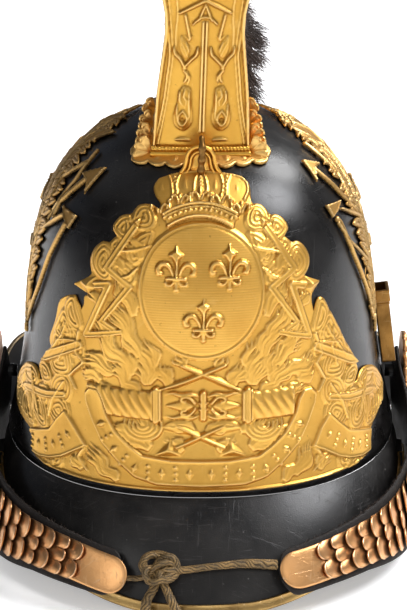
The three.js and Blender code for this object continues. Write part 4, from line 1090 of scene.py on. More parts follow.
def makeFrontPlate():
    relief = Relief((-146, 0), (146, 171), reliefPitch)
    outline = [(0, frontPlate["lower"]), *frontPlate["right"], (0, crown["top"]),
        *mirrored(frontPlate["left"][::-1])]
    relief.outline(rounded(rounded(outline)))
    for add in (addGround, addBolts, addBundle, addArrows, addScroll):
        add(relief)
    lowerEdge = [(-102, 4.0), (-60, 3.4), (0, 3.1), (60, 3.4), (105, 4.3)]
    relief.stroke(lowerEdge, 2.2, 1.0, (1, 1), "flat", base=0.2)
    addMedallion(relief)
    for x, y in ((-11.6, 113.4), (14.0, 114.0), (1.4, 88.6)):
        addLily(relief, x, y, 1.75)
    addCrown(relief)
    relief.heights = blurred(relief.heights)
    layRelief("front_plate_relief", relief, bowlPoint, giltPlate, "gilt", frontPlate["stand"],
        frontPlate["thickness"], ["front_plate"], splits=(-47.3, 48.1))


makeFrontPlate()
print("front plate made")


# Leather bowl, peak and neck guard.
leatherRings = {"around": 186, "up": 64, "inside": 30}


def bowlRing(rise, inset, drop=0.0):
    x, y = ovalPoint(np.linspace(-math.pi, math.pi, leatherRings["around"], endpoint=False))
    spread = max(float(bowlSpread(rise)), 1e-3)
    shrink = 1 - inset / np.hypot(x, y) / max(spread, 0.05)
    height = bowl["rim"] + bowl["height"] * rise - drop
    return np.stack([x * spread * shrink, y * spread * shrink, np.full(len(x), height)], -1)


def makeBowl():
    def risesOf(count):
        lengths = np.linspace(0, meridianLength[-1], count)
        return np.interp(lengths, meridianLength, meridianRise)[:-1].tolist() + [0.9995]
    rings = [bowlRing(rise, 0) for rise in reversed(risesOf(leatherRings["up"]))]
    rings += [bowlRing(0, inset, -drop) for inset, drop in ((0.3, 0.25), (1.0, 0.05), (2.0, 0.05),
        (2.7, 0.25))]
    rings += [bowlRing(max(rise, 0.004), bowl["wall"], bowl["wall"] * rise)
        for rise in risesOf(leatherRings["inside"])]
    points, around = np.vstack(rings), leatherRings["around"]
    faces = facedOut(points, gridFaces(len(rings), around, closed=True), np.array([0, 0, 110])).tolist()
    makeMesh("bowl_leather", points, faces + ringCaps(len(rings), around), bowlLeather, "leather", ["bowl"])


peak = {"tip": 157.2, "edgeHeight": 3.3, "centre": -40, "halfWidth": 103, "slope": 38, "drop": 1.2,
    "reach": 92, "rootReach": 84, "bulge": 4, "wall": 2.6, "gap": 0.3}
guard = {"tip": 190, "edgeHeight": 3.6, "centre": 40, "halfWidth": 112, "squareness": 3, "reach": 115,
    "rootReach": 84.5, "sag": -5, "wall": 2.8}


def bulged(root, edge, out, rise, amount):
    point = root + (edge - root) * out[..., None]
    return point + unit(rise) * (amount * 4 * out * (1 - out))[..., None]


def peakPoint(turn, out):
    turn, out = np.broadcast_arrays(np.asarray(turn, float), np.asarray(out, float))
    angle = np.radians(turn)
    x, y = ovalPoint(angle * peak["rootReach"] / peak["reach"])
    root = np.stack([x, y, np.full(x.shape, bowl["rim"] - peak["gap"])], -1)
    slope = np.maximum(peak["slope"] * (1 - np.cos(angle)) - peak["drop"], 0)
    edge = np.stack([peak["halfWidth"] * np.sin(angle), peak["centre"] - (peak["tip"] + peak["centre"])
        * np.cos(angle), peak["edgeHeight"] + slope], -1)
    rise = np.stack([np.sin(angle), -np.cos(angle), np.full(x.shape, 0.8)], -1)
    return bulged(root, edge, out, rise, peak["bulge"] * np.cos(angle * 0.8))


def guardPoint(turn, out):
    turn, out = np.broadcast_arrays(np.asarray(turn, float), np.asarray(out, float))
    x, y = ovalPoint(math.pi - np.radians(turn) * guard["rootReach"] / guard["reach"])
    root = np.stack([x, y, np.full(x.shape, bowl["rim"] - peak["gap"])], -1)
    beyond = np.maximum(np.abs(turn) - 90, 0) / (guard["reach"] - 90)
    within = np.radians(np.clip(turn, -90, 90))
    power = 2 / guard["squareness"]
    level = guard["edgeHeight"] + (bowl["rim"] - guard["edgeHeight"]) * np.maximum(0.98
        - np.cos(within) ** 4, 0)
    reach = np.maximum(np.cos(within), 0) ** power
    edge = np.stack([guard["halfWidth"] * signedPower(np.sin(within),
        power) - np.sign(turn) * 6 * beyond ** 1.5, guard["centre"] + (guard["tip"] - guard["centre"])
        * reach - 24 * beyond, level], -1)
    rise = np.broadcast_to(np.array([0, 0.5, 0.85]), edge.shape)
    return bulged(root, edge, out, rise, guard["sag"] * np.cos(within))


def upNormals(surface, turn, out):
    across = surface(turn + 0.5, out) - surface(turn - 0.5, out)
    along = surface(turn, out + 0.01) - surface(turn, out - 0.01)
    normal = unit(np.cross(across, along))
    return np.where(normal[..., 2:] < 0, -normal, normal)


def makeLeatherBrim(name, surface, reach, wall, node):
    outs = np.concatenate([np.linspace(0, 0.9, 24), np.linspace(0.93, 1, 4)])
    turn, out = np.meshgrid(np.linspace(-reach, reach, 150), outs, indexing="ij")
    top = surface(turn, out)
    points, faces = sheetSolid(top, top - upNormals(surface, turn, out) * wall)
    makeMesh(name, points, faces, peakLeather, "leather", [node], sharp=40)


# A folded brass edge: its section runs from the upper lip round the edge to the lower lip and back inside.
def makeBinding(name, surface, reach, wall, depth, node):
    metal, gap = 0.9, peak["gap"]
    turns = np.linspace(-reach, reach, 220)
    edge = surface(turns, 1.0)
    span = np.linalg.norm(edge - surface(turns, 0.0), axis=1)
    outward = unit(edge - surface(turns, 1 - depth / span))
    section = [(-depth, gap), (-depth, gap + metal * 0.7), (-depth + 0.5, gap + metal + 0.35),
        (-depth + 1.1, gap + metal), (-depth * 0.4, gap + metal * 0.9), (-0.4, gap + metal),
        (0.5, gap + metal * 0.75), (1.1, 0.1), (1.25, -wall * 0.5), (1.0, -wall - 0.5), (0.3, -wall - 1.1),
        (-1.2, -wall - 1.2), (-depth, -wall - 1.2), (-depth, -wall - gap), (gap, -wall - gap), (gap, gap)]
    rings = []
    for out, off in section:
        share = 1 + min(out, 0) / span
        rings.append(surface(turns, share) + upNormals(surface, turns, share) * off + outward * max(out, 0))
    rings = np.stack(rings, 1)
    rings[..., 2] = np.maximum(rings[..., 2], 0)
    points = rings.reshape(-1, 3)
    faces = turnedOut(points, gridFaces(len(turns), len(section), True), ringCaps(len(turns), len(section)))
    makeMesh(name, points, faces, bindingBrass, "binding", [node], sharp=50)


makeBowl()
brims = (("peak", peakPoint, peak, 4.6), ("neck_guard", guardPoint, guard, 2.4))
for name, surface, sizes, bound in brims:
    makeLeatherBrim(name + "_leather", surface, sizes["reach"], sizes["wall"], name)
for name, surface, sizes, bound in brims:
    makeBinding(name + "_edge", surface, sizes["reach"], sizes["wall"], bound, name + "_binding")
print("leather made")


# Crest: its base, front, comb and hair.
crest = {"front": -47, "rear": 96, "wall": 1.2, "foot": 206, "lean": 0.034, "flangeTop": 1.8}
crestSections = [(-47, 22, 12, 88), (-20, 21, 12, 74), (10, 20, 12, 52), (40, 18.5, 11, 30),
    (66, 17, 10, 17), (86, 13, 8, 10), (96, 8, 5, 5)]
crestFrontRows = [(207, 24.6), (225, 23.7), (238, 23), (248, 22), (259, 20.8), (270, 19.7), (280, 20),
    (290, 22), (300, 24.4), (308, 25.8), (312, 26)]


def crestLean(z):
    return crest["lean"] * np.maximum(z - crest["foot"], 0)


def frontHalf(z):
    return np.interp(z, *np.array(crestFrontRows).T)


def crestFace(x, z):
    half = frontHalf(z)
    y = -52.5 - 5 * ((z - 206) / 106) ** 2 + 1.5 * (x / half) ** 2
    return np.stack([x + crestLean(z), y, z], -1)


def addCrestFrontDetail(relief):
    sideLine = [(half, z) for z, half in crestFrontRows]
    relief.outline(sideLine + mirrored(sideLine[::-1]))
    relief.heights += np.where(relief.edge > 0, 0.15, 0)
    frame = [(23, 212.5), (20.6, 226), (19, 237), (17.8, 249), (16.9, 258), (17.4, 266), (18.4, 276),
        (20, 289), (22.4, 300), (23.6, 308)]
    feather = [(8.6, 266), (11.6, 270), (12.8, 266), (12.4, 261), (9.6, 256.6), (7.4, 258), (6.2, 262)]
    shell = [(5.6, 241.6), (7.6, 243), (10.6, 243.4), (12.2, 238), (13.6, 232), (14.7, 226.6), (13.4, 222),
        (9.6, 219.6), (5.8, 222), (4.3, 226.6), (5, 234)]
    # points, width, height, how the ends taper, and base; one point is a bead
    border = [([(half - 1.0, z) for z, half in crestFrontRows], 1.7, 1.7, (1, 1), 0.2),
        (frame, 1.0, 1.1, (1, 1), 0.15), ([(x - 1.5, z) for x, z in frame], 0.8, 0.7, (1, 1), 0.15),
        ([(14, 261.5), (14.2, 270), (13.6, 281), (15, 292), (17, 303)], 0.9, 0.8, (1, 1), 0.15),
        ([(0.6, 286.8), (12.4, 280.6)], 2.1, 1.5, (1, 0.7), 0.2), ([(9.8, 279.6), (7.2, 267.8)], 1.5, 1.4,
        (1, 1), 0.2)]
    torch = [([(8, 258), (9.6, 262), (12, 267)], 0.8, 1.3, (0.35, 0.1), 0.2),
        ([(7.4, 260), (8.4, 264), (9.8, 267)], 0.8, 1.3, (0.35, 0.1), 0.2),
        ([(14.8, 263), (14.2, 259.8), (11.6, 257), (9.7, 253.4)], 1.9, 1.7, (0.5, 0.7), 0.2),
        ([(3.2, 262.8), (3.8, 259.4), (6.2, 256.8), (9.2, 253.4)], 1.9, 1.7, (0.5, 0.7), 0.2),
        ([(9.4, 252.4)], 2.2, 1.6, (1, 1), 0.2), ([(9.6, 251), (8, 249), (8.4, 246.6), (9.2, 245)], 1.7,
        1.4, (0.8, 0.5), 0.2), ([(8, 250.4), (7, 247), (7.8, 243.6)], 1.2, 1.2, (0.35, 0.1), 0.2)]
    inShell = [([(6.6, 240), (6.8, 234), (6.4, 228), (7.6, 223.4)], 1.0, 0.9, (0.4, 0.2), 1.4),
        ([(11.4, 240.6), (11.4, 236), (9.2, 232.6)], 1.0, 0.9, (0.4, 0.2), 1.4),
        ([(12.6, 233.6), (12.4, 228), (11.6, 223.8)], 1.0, 0.9, (0.4, 0.2), 1.4),
        ([(8.6, 242), (9.4, 238), (8, 235.6), (8.6, 231.6)], 1.0, 0.9, (0.4, 0.2), 1.4),
        ([(9.6, 230.6), (12, 226.6), (9.7, 222.6), (7.4, 226.6), (9.6, 230.6)], 1.0, 1.0, (1, 1), 1.5),
        ([(9.7, 225.6)], 2.6, -0.9, (1, 1), 0), ([(6.2, 215.2), (9.6, 215.7), (13, 215.2)], 2.0, 1.2,
        (0.6, 0.3), 0.15)]
    middle = [([(x, 219.5), (x, 276)], 1.1, 1.5, (1, 1), 0.15) for x in (-0.85, 0.85)]
    middle += [(line, 1.4, 1.4, (0.6, 0.6), 0.2) for line in ([(-6, 274.6), (-3.4, 277.4), (0, 278.6),
        (3.4, 277.4), (6, 274.6)], [(-3.4, 276.4), (0, 285)], [(3.4, 276.4), (0, 285)],
        [(-13, 296), (-6, 303), (0, 305), (6, 303), (13, 296)], [(-10, 291), (0, 298), (10, 291)])]

    def draw(rows, side=1):
        for points, width, height, ends, base in rows:
            if len(points) == 1:
                relief.bead(side * points[0][0], points[0][1], width, height, base)
            else:
                relief.stroke([(side * x, z) for x, z in points], width, height, ends, base=base)
    for side in (1, -1):
        def at(points):
            return [(side * x, z) for x, z in points]
        draw(border, side)
        relief.sheet(at([(5.2, 269.6), (7.4, 264.6), (10.6, 269.8), (7.6, 268)]), 1.7, 1.0, False,
            clear=False)
        relief.sheet(at(feather), 0.9, 1.6, rim=0.2, clear=False)
        draw(torch, side)
        relief.sheet(at(shell), 1.5, 2.2, rim=0.5)
        draw(inShell, side)
    draw(middle)
    relief.sheet([(-4, 275.4), (0, 279), (4, 275.4), (0, 277)], 1.5, 1.2, False, clear=False)


def makeCrestFront():
    relief = Relief((-27, 207), (27, 312), 0.44)
    addCrestFrontDetail(relief)
    relief.heights = blurred(relief.heights)
    layRelief("crest_front_relief", relief, crestFace, giltCrest, "gilt", 0.0, 0.4, ["crest_front"],
        centre=(0, 0, 255))
    # the turned-back sides and the back of the front piece
    z = np.linspace(207, 312, 60)
    rows = []
    for x, y in ((1.0, None), (1.0, -49.5), (0.99, -47.9), (0.95, -47.9), (0, -47.9), (-0.95, -47.9),
            (-0.99, -47.9), (-1.0, -49.5), (-1.0, None)):
        face = crestFace(x * frontHalf(z), z)
        if y is not None:
            face[:, 1] = y
        rows.append(face)
    points = np.stack(rows, 1).reshape(-1, 3)
    faces = facedOut(points, gridFaces(len(z), len(rows)), np.array([0, -56, 260]))
    makeMesh("crest_front_sides", points, faces, giltCrest, "gilt", sharp=35)


def smoothColumn(rows, at, column):
    rows = np.array(rows, float)
    line = smoothPath(rows[:, [0, column]], 200)
    return np.interp(at, line[:, 0], line[:, 1])


def spiral(x, y, radius, turns, start, side=1):
    t = np.linspace(0, 1, int(10 * turns) + 6)
    angle = start + side * turns * 2 * math.pi * t
    reach = radius * (1 - 0.82 * t)
    return [(x + r * math.cos(a), y + r * math.sin(a)) for r, a in zip(reach, angle)]


def combRelief():
    relief = Relief((-48, 0), (97, 92), 0.7, base=0.2)
    for x, y, radius, turns, start, side in ((-31, 20, 11, 1.6, 2.6, -1), (-7, 22, 11, 1.6, 0.6, 1),
            (16, 17, 9.5, 1.6, 2.6, -1), (38, 12.5, 7, 1.5, 0.6, 1), (56, 9, 5, 1.4, 2.6, -1),
            (-26, 50, 12, 1.6, 0.4, 1), (0, 43, 8, 1.5, 2.8, -1), (-32, 72, 7, 1.4, 2.6, -1),
            (-12, 66, 6, 1.4, 0.4, 1)):
        relief.stroke(spiral(x, y, radius, turns, start, side), 2.6, 1.3, (0.8, 0.6))
        for angle in np.linspace(start, start + side * 4.2, 7):
            bend = angle + side * 0.5
            root = (x + 0.95 * radius * math.cos(angle), y + 0.95 * radius * math.sin(angle))
            tip = (x + 1.55 * radius * math.cos(bend), y + 1.55 * radius * math.sin(bend))
            middle = ((root[0] + tip[0]) / 2 + 0.8 * math.cos(angle + 1.5), (root[1] + tip[1]) / 2)
            relief.stroke([root, middle, tip], 3.2, 1.0, (0.8, 0.1))
    ridge = [(y, rise * 0.88) for y, _, _, rise in crestSections]
    for line, width, height in ((ridge, 2.0, 1.3), ([(y, rise - 3.4) for y, rise in ridge], 1.0, 0.8),
            ([(-47, 3), (96, 2)], 2.0, 1.2), ([(-45.6, 3), (-45.6, 84)], 1.8, 1.2)):
        relief.stroke(line, width, height, (1, 1))
    relief.heights = blurred(relief.heights)
    return relief


def levelAbove(x, y, off):
    small = 0.4
    here = domePoint(x, y)
    slopes = [(domePoint(x + dx, y + dy)[..., 2] - domePoint(x - dx, y - dy)[..., 2]) / (2 * small) for dx,
        dy in ((small, 0), (0, small))]
    return here[..., 2] + off * np.sqrt(1 + slopes[0] ** 2 + slopes[1] ** 2)


def combGrid(inset):
    y = np.linspace(crest["front"], crest["rear"], 120)
    foot, top, rise = (smoothColumn(crestSections, y, column) for column in (1, 2, 3))
    base = levelAbove(foot, y, crest["flangeTop"] + 0.8)[:, None]
    ridge = (domePoint(0 * y, y)[..., 2] + rise - inset)[:, None]
    ups = np.concatenate([np.linspace(0, 0.9, 48), [0.93, 0.955, 0.98, 0.992]])
    share = np.interp(ups, [0, 0.3, 0.62, 0.9, 0.98, 1], [0, 0.55, 0.88, 1, 1, 1])
    pull = np.interp(ups, [0.9, 0.94, 0.98, 1], [1, 0.93, 0.7, 0.4])
    out = (foot[:, None] * (1 - share) + top[:, None] * share) * pull - inset
    right = np.stack([out, y[:, None] + 0 * out, base + ups * (ridge - base)], -1)
    middle = np.stack([0 * y, y, ridge[:, 0]], -1)[:, None]
    grid = np.concatenate([right, middle, right[:, ::-1] * np.array([-1, 1, 1])], 1)
    return grid, np.concatenate([ups, [1], ups[::-1]]) * (ridge - base)


def makeCrestComb():
    outer, up = combGrid(0)
    inner, _ = combGrid(crest["wall"])
    relief = combRelief()
    columns = np.clip(((outer[..., 1] - relief.x[0]) / relief.pitch).round().astype(int), 0,
        relief.shape[1] - 1)
    rows = np.clip((up / relief.pitch).round().astype(int), 0, relief.shape[0] - 1)
    heights = relief.heights[rows, columns] * (np.abs(outer[..., 0]) > 3)
    shown = outer + gridNormals(outer, (0, 20, 200)) * (heights * 0.8)[..., None]
    for grid in (shown, inner):
        grid[..., 0] += crestLean(grid[..., 2])
    values = {label: np.concatenate([tone.ravel(), np.zeros(tone.size)]) for label,
        tone in hollowAndRidge(heights, blurred(heights, 5)).items()}
    makeMesh("crest_comb_relief", *sheetSolid(shown, inner), giltCrest, "gilt", ["crest_comb"], values)


def makeCrestBase():
    relief = Relief((-37, -67), (37, 101), 0.5)
    lobes, half = 8, 34.5
    width = 2 * half / lobes
    front = []
    for lobe in range(lobes):
        for share in (0, 0.15, 0.4, 0.6, 0.85):
            x = -half + (lobe + share) * width
            front.append((x, -62.6 + 11 * (x / half) ** 2 - 2.4 * math.sin(math.pi * share) ** 0.6))
    line = smoothPath([(34.5, -49), (33, -40), (28.4, -28), (26, -10), (24.6, 30), (22.4, 60), (18, 83),
        (11, 96), (4, 100.4)], 90)
    out = unit(np.stack([np.gradient(line[:, 1]), -np.gradient(line[:, 0])], -1))
    ripple = 1.5 * np.abs(np.sin(np.arange(90) / 89 * math.pi * 17)) ** 0.7 - 0.4
    side = (line + out * ripple[:, None]).tolist()
    outline = front + side + mirrored(side[::-1])
    relief.outline(outline)
    area, _, far = relief.depth(outline, smooth=False)
    shape = 0.4 + 0.6 * np.exp(-((far - 0.6) / 0.4) ** 2) + 0.4 * np.exp(-((far - 2.1) / 0.35) ** 2)
    relief.heights[area] = np.where(far > 0, shape, 0)
    for lobe in range(lobes):
        x = -half + (lobe + 0.5) * width
        y = -62.0 + 11 * (x / half) ** 2
        relief.stroke([(x, y + 2.2), (x * 0.96, y + 6)], 3.0, 0.5, (0.9, 0.3))
    opening = [(20, -46), (18, 20), (14, 70), (8, 92)]
    area, _, far = relief.depth(mirrored(opening[:1]) + opening + mirrored(opening[:0:-1]), False)
    relief.edge[area] = np.minimum(relief.edge[area], -far)
    relief.heights = blurred(relief.heights)
    layRelief("crest_base_relief", relief, domePoint, giltPale, "gilt", 0.6, 0.7, ["crest_base"])


def twistedBead(path, radius, pitch, around=12, depth=0.42):
    length = runLengths(path)

    def shape(i, turn):
        return 1 + depth * (np.abs(np.sin(turn + math.pi * length[i] / pitch)) - 0.6)
    return sweepTube(path, radius, around, shape=shape)


def makeCrestMouldings():
    footY = np.linspace(-50, 90, 60)
    foot = smoothColumn(crestSections, np.clip(footY, -47, 96), 1)
    right = np.stack([foot + 1.6, footY, levelAbove(foot + 1.6, footY, crest["flangeTop"] + 1.4)], -1)
    frontX = np.linspace(24.6, -24.6, 30)
    bow = 1.2 * (frontX / 24.6) ** 2
    bead = smoothPath(np.stack([frontX, bow - 54.6, np.full(30, 210.9)], -1), 160)
    torus = smoothPath(np.stack([frontX * 1.02, bow - 55.2, np.full(30, 208.3)], -1), 60)
    parts = [twistedBead(bead, 1.35, 1.7)]
    parts += [twistedBead(smoothPath(right * np.array([side, 1, 1]), 300), 1.3, 2.6, 10) for side in (1,
        -1)]
    makeMesh("crest_mouldings", *joined([*parts, sweepTube(torus, 1.5, 14)]), giltCrest, "gilt")


# Ruffled shells one above the other, at each side of the crest's foot: middle, reach and scallops of each.
ruffles = [(24.4, -51, 208.4, 9.6, 4), (23.8, -44, 213.6, 9.2, 4), (23.2, -37, 219.4, 8.4, 4),
    (22.6, -30, 225, 7.2, 3)]


def makeRuffles():
    parts = []
    turn = np.radians(np.linspace(-62, 78, 64))[:, None]
    share = np.array([0.1, 0.3, 0.5, 0.66, 0.78, 0.86, 0.91, 0.95, 0.98, 1.0])[None, :]
    for x, y, z, reach, scallops in ruffles:
        ripple = np.abs(np.sin((turn + math.radians(62)) * scallops * 180 / 140))
        radius = reach * (0.84 + 0.16 * ripple ** 0.6) * share
        bulge = 1.6 * np.sin(math.pi * share * 0.7) + 0.7 * (ripple - 0.5) * share
        bulge = bulge + 0.55 * np.exp(-((share - 0.93) / 0.03) ** 2)
        outer = np.stack([x + radius * np.cos(turn), y - bulge + 0 * turn, z + radius * np.sin(turn)], -1)
        for side in (1, -1):
            flip = np.array([side, 1, 1])
            parts.append(sheetSolid(outer * flip, (outer + np.array([0, 0.7, 0])) * flip))
    makeMesh("crest_foot_ruffles", *joined(parts), giltPale, "gilt", sharp=50)


# The loop above the crown that hooks the plate to the crest, and the worn pin through it.
def makeCrownLoop():
    half = [(-10, 202.2), (-8, 205), (-7, 208.4), (-6.4, 211.8), (-4, 214.8)]
    loop = half + [(0, 215.9)] + mirrored(half[::-1])
    parts = []
    for wide, tall, depth, radius in ((1.0, 1.0, -68.2, 1.0), (0.72, 0.8, -68.0, 0.7)):
        knots = [(x * wide, depth, 202.6 + (z - 202.6) * tall) for x, z in loop]
        parts.append(sweepTube(smoothPath(knots, 40), radius, 10, up=(0, 1, 0)))
    count = len(loop)
    faces = [list(range(count))[::-1], list(range(count, 2 * count))]
    faces += [[i, (i + 1) % count, (i + 1) % count + count, i + count] for i in range(count)]
    parts.append(([(x, y, z) for y in (-67.6, -66.6) for x, z in loop], faces))
    makeMesh("crown_loop", *joined(parts), giltPlate, "gilt")
    pin = smoothPath([(0.2, -68.6, 202.4), (0.5, -69.2, 208), (0.9, -69.0, 213), (0.8, -67.4, 217.6),
        (0.5, -65.4, 220.4)], 30)
    t = np.linspace(0, 1, 30)
    radii = 1.75 + 0.35 * np.sin(t * 21) - 0.9 * np.clip(t - 0.82, 0, 1) / 0.18
    makeMesh("crown_pin", *sweepTube(pin, radii, 12, up=(1, 0, 0)), socketBrass, "gilt")


for make in (makeCrestBase, makeCrestFront, makeCrestComb, makeCrestMouldings, makeRuffles, makeCrownLoop):
    make()
print("crest made")

mane = {
    # where the roll's middle line runs and how thick it is there
    "rows": [(3.4, -40, 306, 14), (2.5, -15, 299, 17), (3, 12, 280, 19), (7.5, 40, 253, 24),
             (9.5, 66, 232, 25),
             (8, 92, 206, 24), (5, 110, 176, 19), (1, 120, 142, 13)],
    "tufts": 480, "strands": 11, "core": 0.7, "width": 0.27, "seed": 5,
}


def insideBowl(points, margin):
    along = np.where(points[..., 1] < 0, bowl["front"], bowl["back"]) + margin
    total = (np.abs(points[..., 0]) / (bowl["halfWidth"] + margin)) ** bowl["squareness"]
    total += (np.abs(points[..., 1]) / along) ** bowl["squareness"]
    rise = np.clip((points[..., 2] - margin - bowl["rim"]) / bowl["height"], 0, 1)
    return total ** (1 / bowl["squareness"]) < bowlSpread(rise)


def makeHairMaterial():
    material, tree = newMaterial("darkHair")
    place = objectPlace(tree)
    tuft = remap(tree, noiseOf(tree, place, 90, 3), 0.35, 0.65)
    # Colour runs from dark to light with each strand's own tone and its painted root shade.
    colour = mixColour(tree, meshValue(tree, "toneAndShade"), (0.018, 0.012, 0.0095, 1), (0.15, 0.10, 0.078, 1))
    return finishMaterial(material, {"Base Color": mixColour(tree, times(tree, tuft, 0.4), colour,
        (0.02, 0.012, 0.009, 1)), "Roughness": 0.55, "Normal": bumpOf(tree, noiseOf(tree, place, 1500, 2),
        0.4, 0.0003), "Specular IOR Level": 0.35})


darkHair = makeHairMaterial()


# Many tapered three-sided strands at once: paths is strands x steps x 3.
def strandTubes(paths, width, shades):
    strands, count = paths.shape[:2]
    tangent = unit(np.gradient(paths, axis=1))
    side = unit(np.cross(tangent, np.array([0.3, 0.2, 0.93])))
    over = np.cross(side, tangent)
    share = np.linspace(0, 1, count)[None, :, None]
    turns = np.array([0, 2.094, 4.189])[:, None]
    ring = np.cos(turns) * side[:, :, None] + np.sin(turns) * over[:, :, None]
    points = paths[:, :, None] + ring * (width * (1 - share ** 1.6 * 0.92) / 2)[..., None]
    first = (np.arange(strands) * count * 3)[:, None, None]
    faces = (gridFaces(count, 3, closed=True) + first).reshape(-1, 4)
    ends = ((count - 1) * 3 + np.arange(3) + first).reshape(-1, 3)
    # Each strand is painted darker towards its root, as shade deep in the hair, on top of its own tone.
    rootShadedTone = shades[:, None, None] * (0.35 + 0.65 * share)
    return points.reshape(-1, 3), faces.tolist() + ends.tolist(), np.broadcast_to(rootShadedTone,
        (strands, count, 3)).reshape(-1)


def makeMane():
    steps, around = 120, 28
    rows = np.array(mane["rows"], float)
    line = smoothPath(rows[:, :3], steps)
    share = np.linspace(0, 1, steps)
    radius = np.interp(share, np.linspace(0, 1, len(rows)), rows[:, 3])
    tangent = unit(np.gradient(line, axis=0))
    side = np.array([1.0, 0, 0])
    over = unit(np.cross(side, tangent))
    over = np.where(over[:, 2:] < 0, -over, over)
    dice = np.random.default_rng(mane["seed"])
    lumps = dice.uniform(0.93, 1.07, (steps, around))
    turn = np.linspace(0, fullTurn, around, endpoint=False)[None, :, None]
    closing = np.minimum(1, np.minimum(share * 18 + 0.25, (1 - share) * 14 + 0.2))
    thick = (radius * mane["core"] * closing)[:, None, None] * lumps[..., None]
    core = (line[:, None] + (np.cos(turn) * side + np.sin(turn) * over[:, None]) * thick).reshape(-1, 3)
    faces = facedOut(core, gridFaces(steps, around, closed=True), line.mean(0)).tolist()
    # The core takes the darkest hair colour, as painted shade deep inside the mane.
    makeMesh("mane_core", core, faces + ringCaps(steps, around), darkHair, "hair",
        values={"toneAndShade": np.zeros(len(core))})
    t = np.linspace(0, 1, 6)[:, None]
    paths, tones = [], []
    for _ in range(mane["tufts"]):
        at = min(steps - 1, int(dice.uniform(0, 1) ** 0.9 * steps))
        angle = dice.uniform(-0.35 * math.pi, 1.35 * math.pi)
        out = math.cos(angle) * side + math.sin(angle) * over[at]
        sweep = tangent[at] * dice.uniform(0.15, 0.75) + np.array([0, 0, -1]) * dice.uniform(0.05, 0.5)
        tip = line[at] + out * radius[at] * dice.uniform(1.0, 1.16) + sweep * radius[at] * 0.55
        tone = dice.uniform(0.15, 0.95)
        for _ in range(mane["strands"]):
            direction = unit(out + dice.normal(0, 0.19, 3))
            root = line[at] + direction * radius[at] * (mane["core"] - 0.08) + tangent[at] * dice.normal(0,
                2.2)
            end = tip + dice.normal(0, 2.4, 3)
            middle = (root + end) / 2 + out * radius[at] * 0.10
            path = (1 - t) ** 2 * root + 2 * t * (1 - t) * middle + t ** 2 * end
            if insideBowl(path, 1.5).any():
                continue
            paths.append(path)
            tones.append(np.clip(tone + dice.normal(0, 0.15), 0, 1))
    points, faces, values = strandTubes(np.array(paths), mane["width"] * 2, np.array(tones))
    makeMesh("mane_hair", points, faces, darkHair, "hair", ["crest_mane"], {"toneAndShade": values})


makeMane()
print("mane made")


# Side ornaments: thunderbolts and laurel, cut out of sheet.
sideOrnament = {
    "stem": [(126, 60), (130, 78), (127, 98), (121, 118), (114, 136), (105, 153), (95, 168), (86, 179),
             (78, 188)],
    "leafStep": 5.4, "leafLength": 22, "leafWidth": 4.6, "stand": 0.8, "thickness": 0.4,
    "left": {
        "bolts": [([(60, 157.4), (89.4, 134.4), (95.1, 125.1), (84, 128.6)], 4.6),
                  ([(84, 129), (108.6, 116.1)], 4.4),
                  ([(80, 125.6), (93.7, 107.2), (101, 95.3), (106, 88), (116.8, 74.3), (128.5, 61.5)], 5.0),
                  ([(67.2, 167.3), (78.5, 148), (91, 134.5), (105.4, 119.5)], 3.4),
                  ([(72, 159.6), (98.9, 143.5), (106, 132)], 3.6),
                  ([(121.6, 86), (129.4, 66)], 3.6)],
        "heads": [[(52.8, 161.9), (74.6, 152.2), (66.9, 150.2), (67.4, 143.2)],
                  [(70.2, 132), (86.2, 133.2), (81, 127.6), (76.6, 124)],
                  [(128.6, 60.8), (121, 70), (125.4, 70.4), (127.6, 76)]],
        "blades": [[(59.1, 183.1), (78, 177), (94.5, 166.3), (99.4, 157.9), (84, 168), (70, 177)],
                   [(66, 190.4), (84, 186.6), (101, 178.6), (112.5, 170), (94, 178), (80, 184)]],
    },
    "right": {
        "bolts": [([(69, 157), (92.5, 137.7), (104, 129), (120.9, 117.8)], 4.4),
                  ([(120, 119), (88, 131)], 4.2),
                  ([(82, 127.6), (85.2, 124.9), (97.8, 105.2), (113.6, 84.7), (125.7, 65.3)], 5.0),
                  ([(74.2, 169.6), (88, 156.4), (99.8, 145.4), (104.5, 129.5)], 3.6),
                  ([(82.4, 125.6), (93.4, 113.9), (119.5, 97.3), (111.5, 89.6)], 2.8),
                  ([(77.7, 174.6), (113.7, 155.4)], 3.2)],
        "heads": [[(61.2, 163.6), (81.4, 155.6), (70.8, 155.6), (70.2, 148.2)],
                  [(72.9, 136.4), (91, 134.6), (84.6, 131), (78.2, 129)],
                  [(126, 64.4), (117.6, 74.6), (122, 74), (124.6, 79)]],
        "blades": [[(72.2, 181), (92, 176), (108.5, 167), (113.7, 155.4), (98, 164), (84, 172)],
                   [(78, 191), (92, 186.6), (104, 176), (90, 181)]],
    },
    "rearBolts": [([(116, 121), (142, 127), (150, 119), (166, 123)], 3.0),
                  ([(122, 96), (148, 102), (156, 94), (171, 98)], 3.0)],
    "rearHeads": [[(175, 123.6), (164, 128), (166, 123), (163.6, 118)],
                  [(179, 98.6), (168, 103), (171, 98), (168.6, 93)]],
}


def addLeaf(relief, x, y, angle, length, width, level):
    t = np.linspace(0, 1, 9)
    bend = angle + 0.35 * (t - 0.3)
    line = np.cumsum(np.stack([np.cos(bend), np.sin(bend)], -1), 0) * length / 9 + np.array([x, y])
    half = width / 2 * np.sin(math.pi * np.clip(t * 0.94 + 0.05, 0, 1)) ** 0.75
    out = np.stack([-np.sin(bend), np.cos(bend)], -1) * half[:, None]
    outline = np.vstack([line + out, (line - out)[::-1]])
    relief.sheet(outline, level, rise=0.8, clear=True, edge=True, rim=0.3, rimAt=0.5)
    relief.stroke(line[:-1], 0.8, -0.5, ends=(1, 0.3))


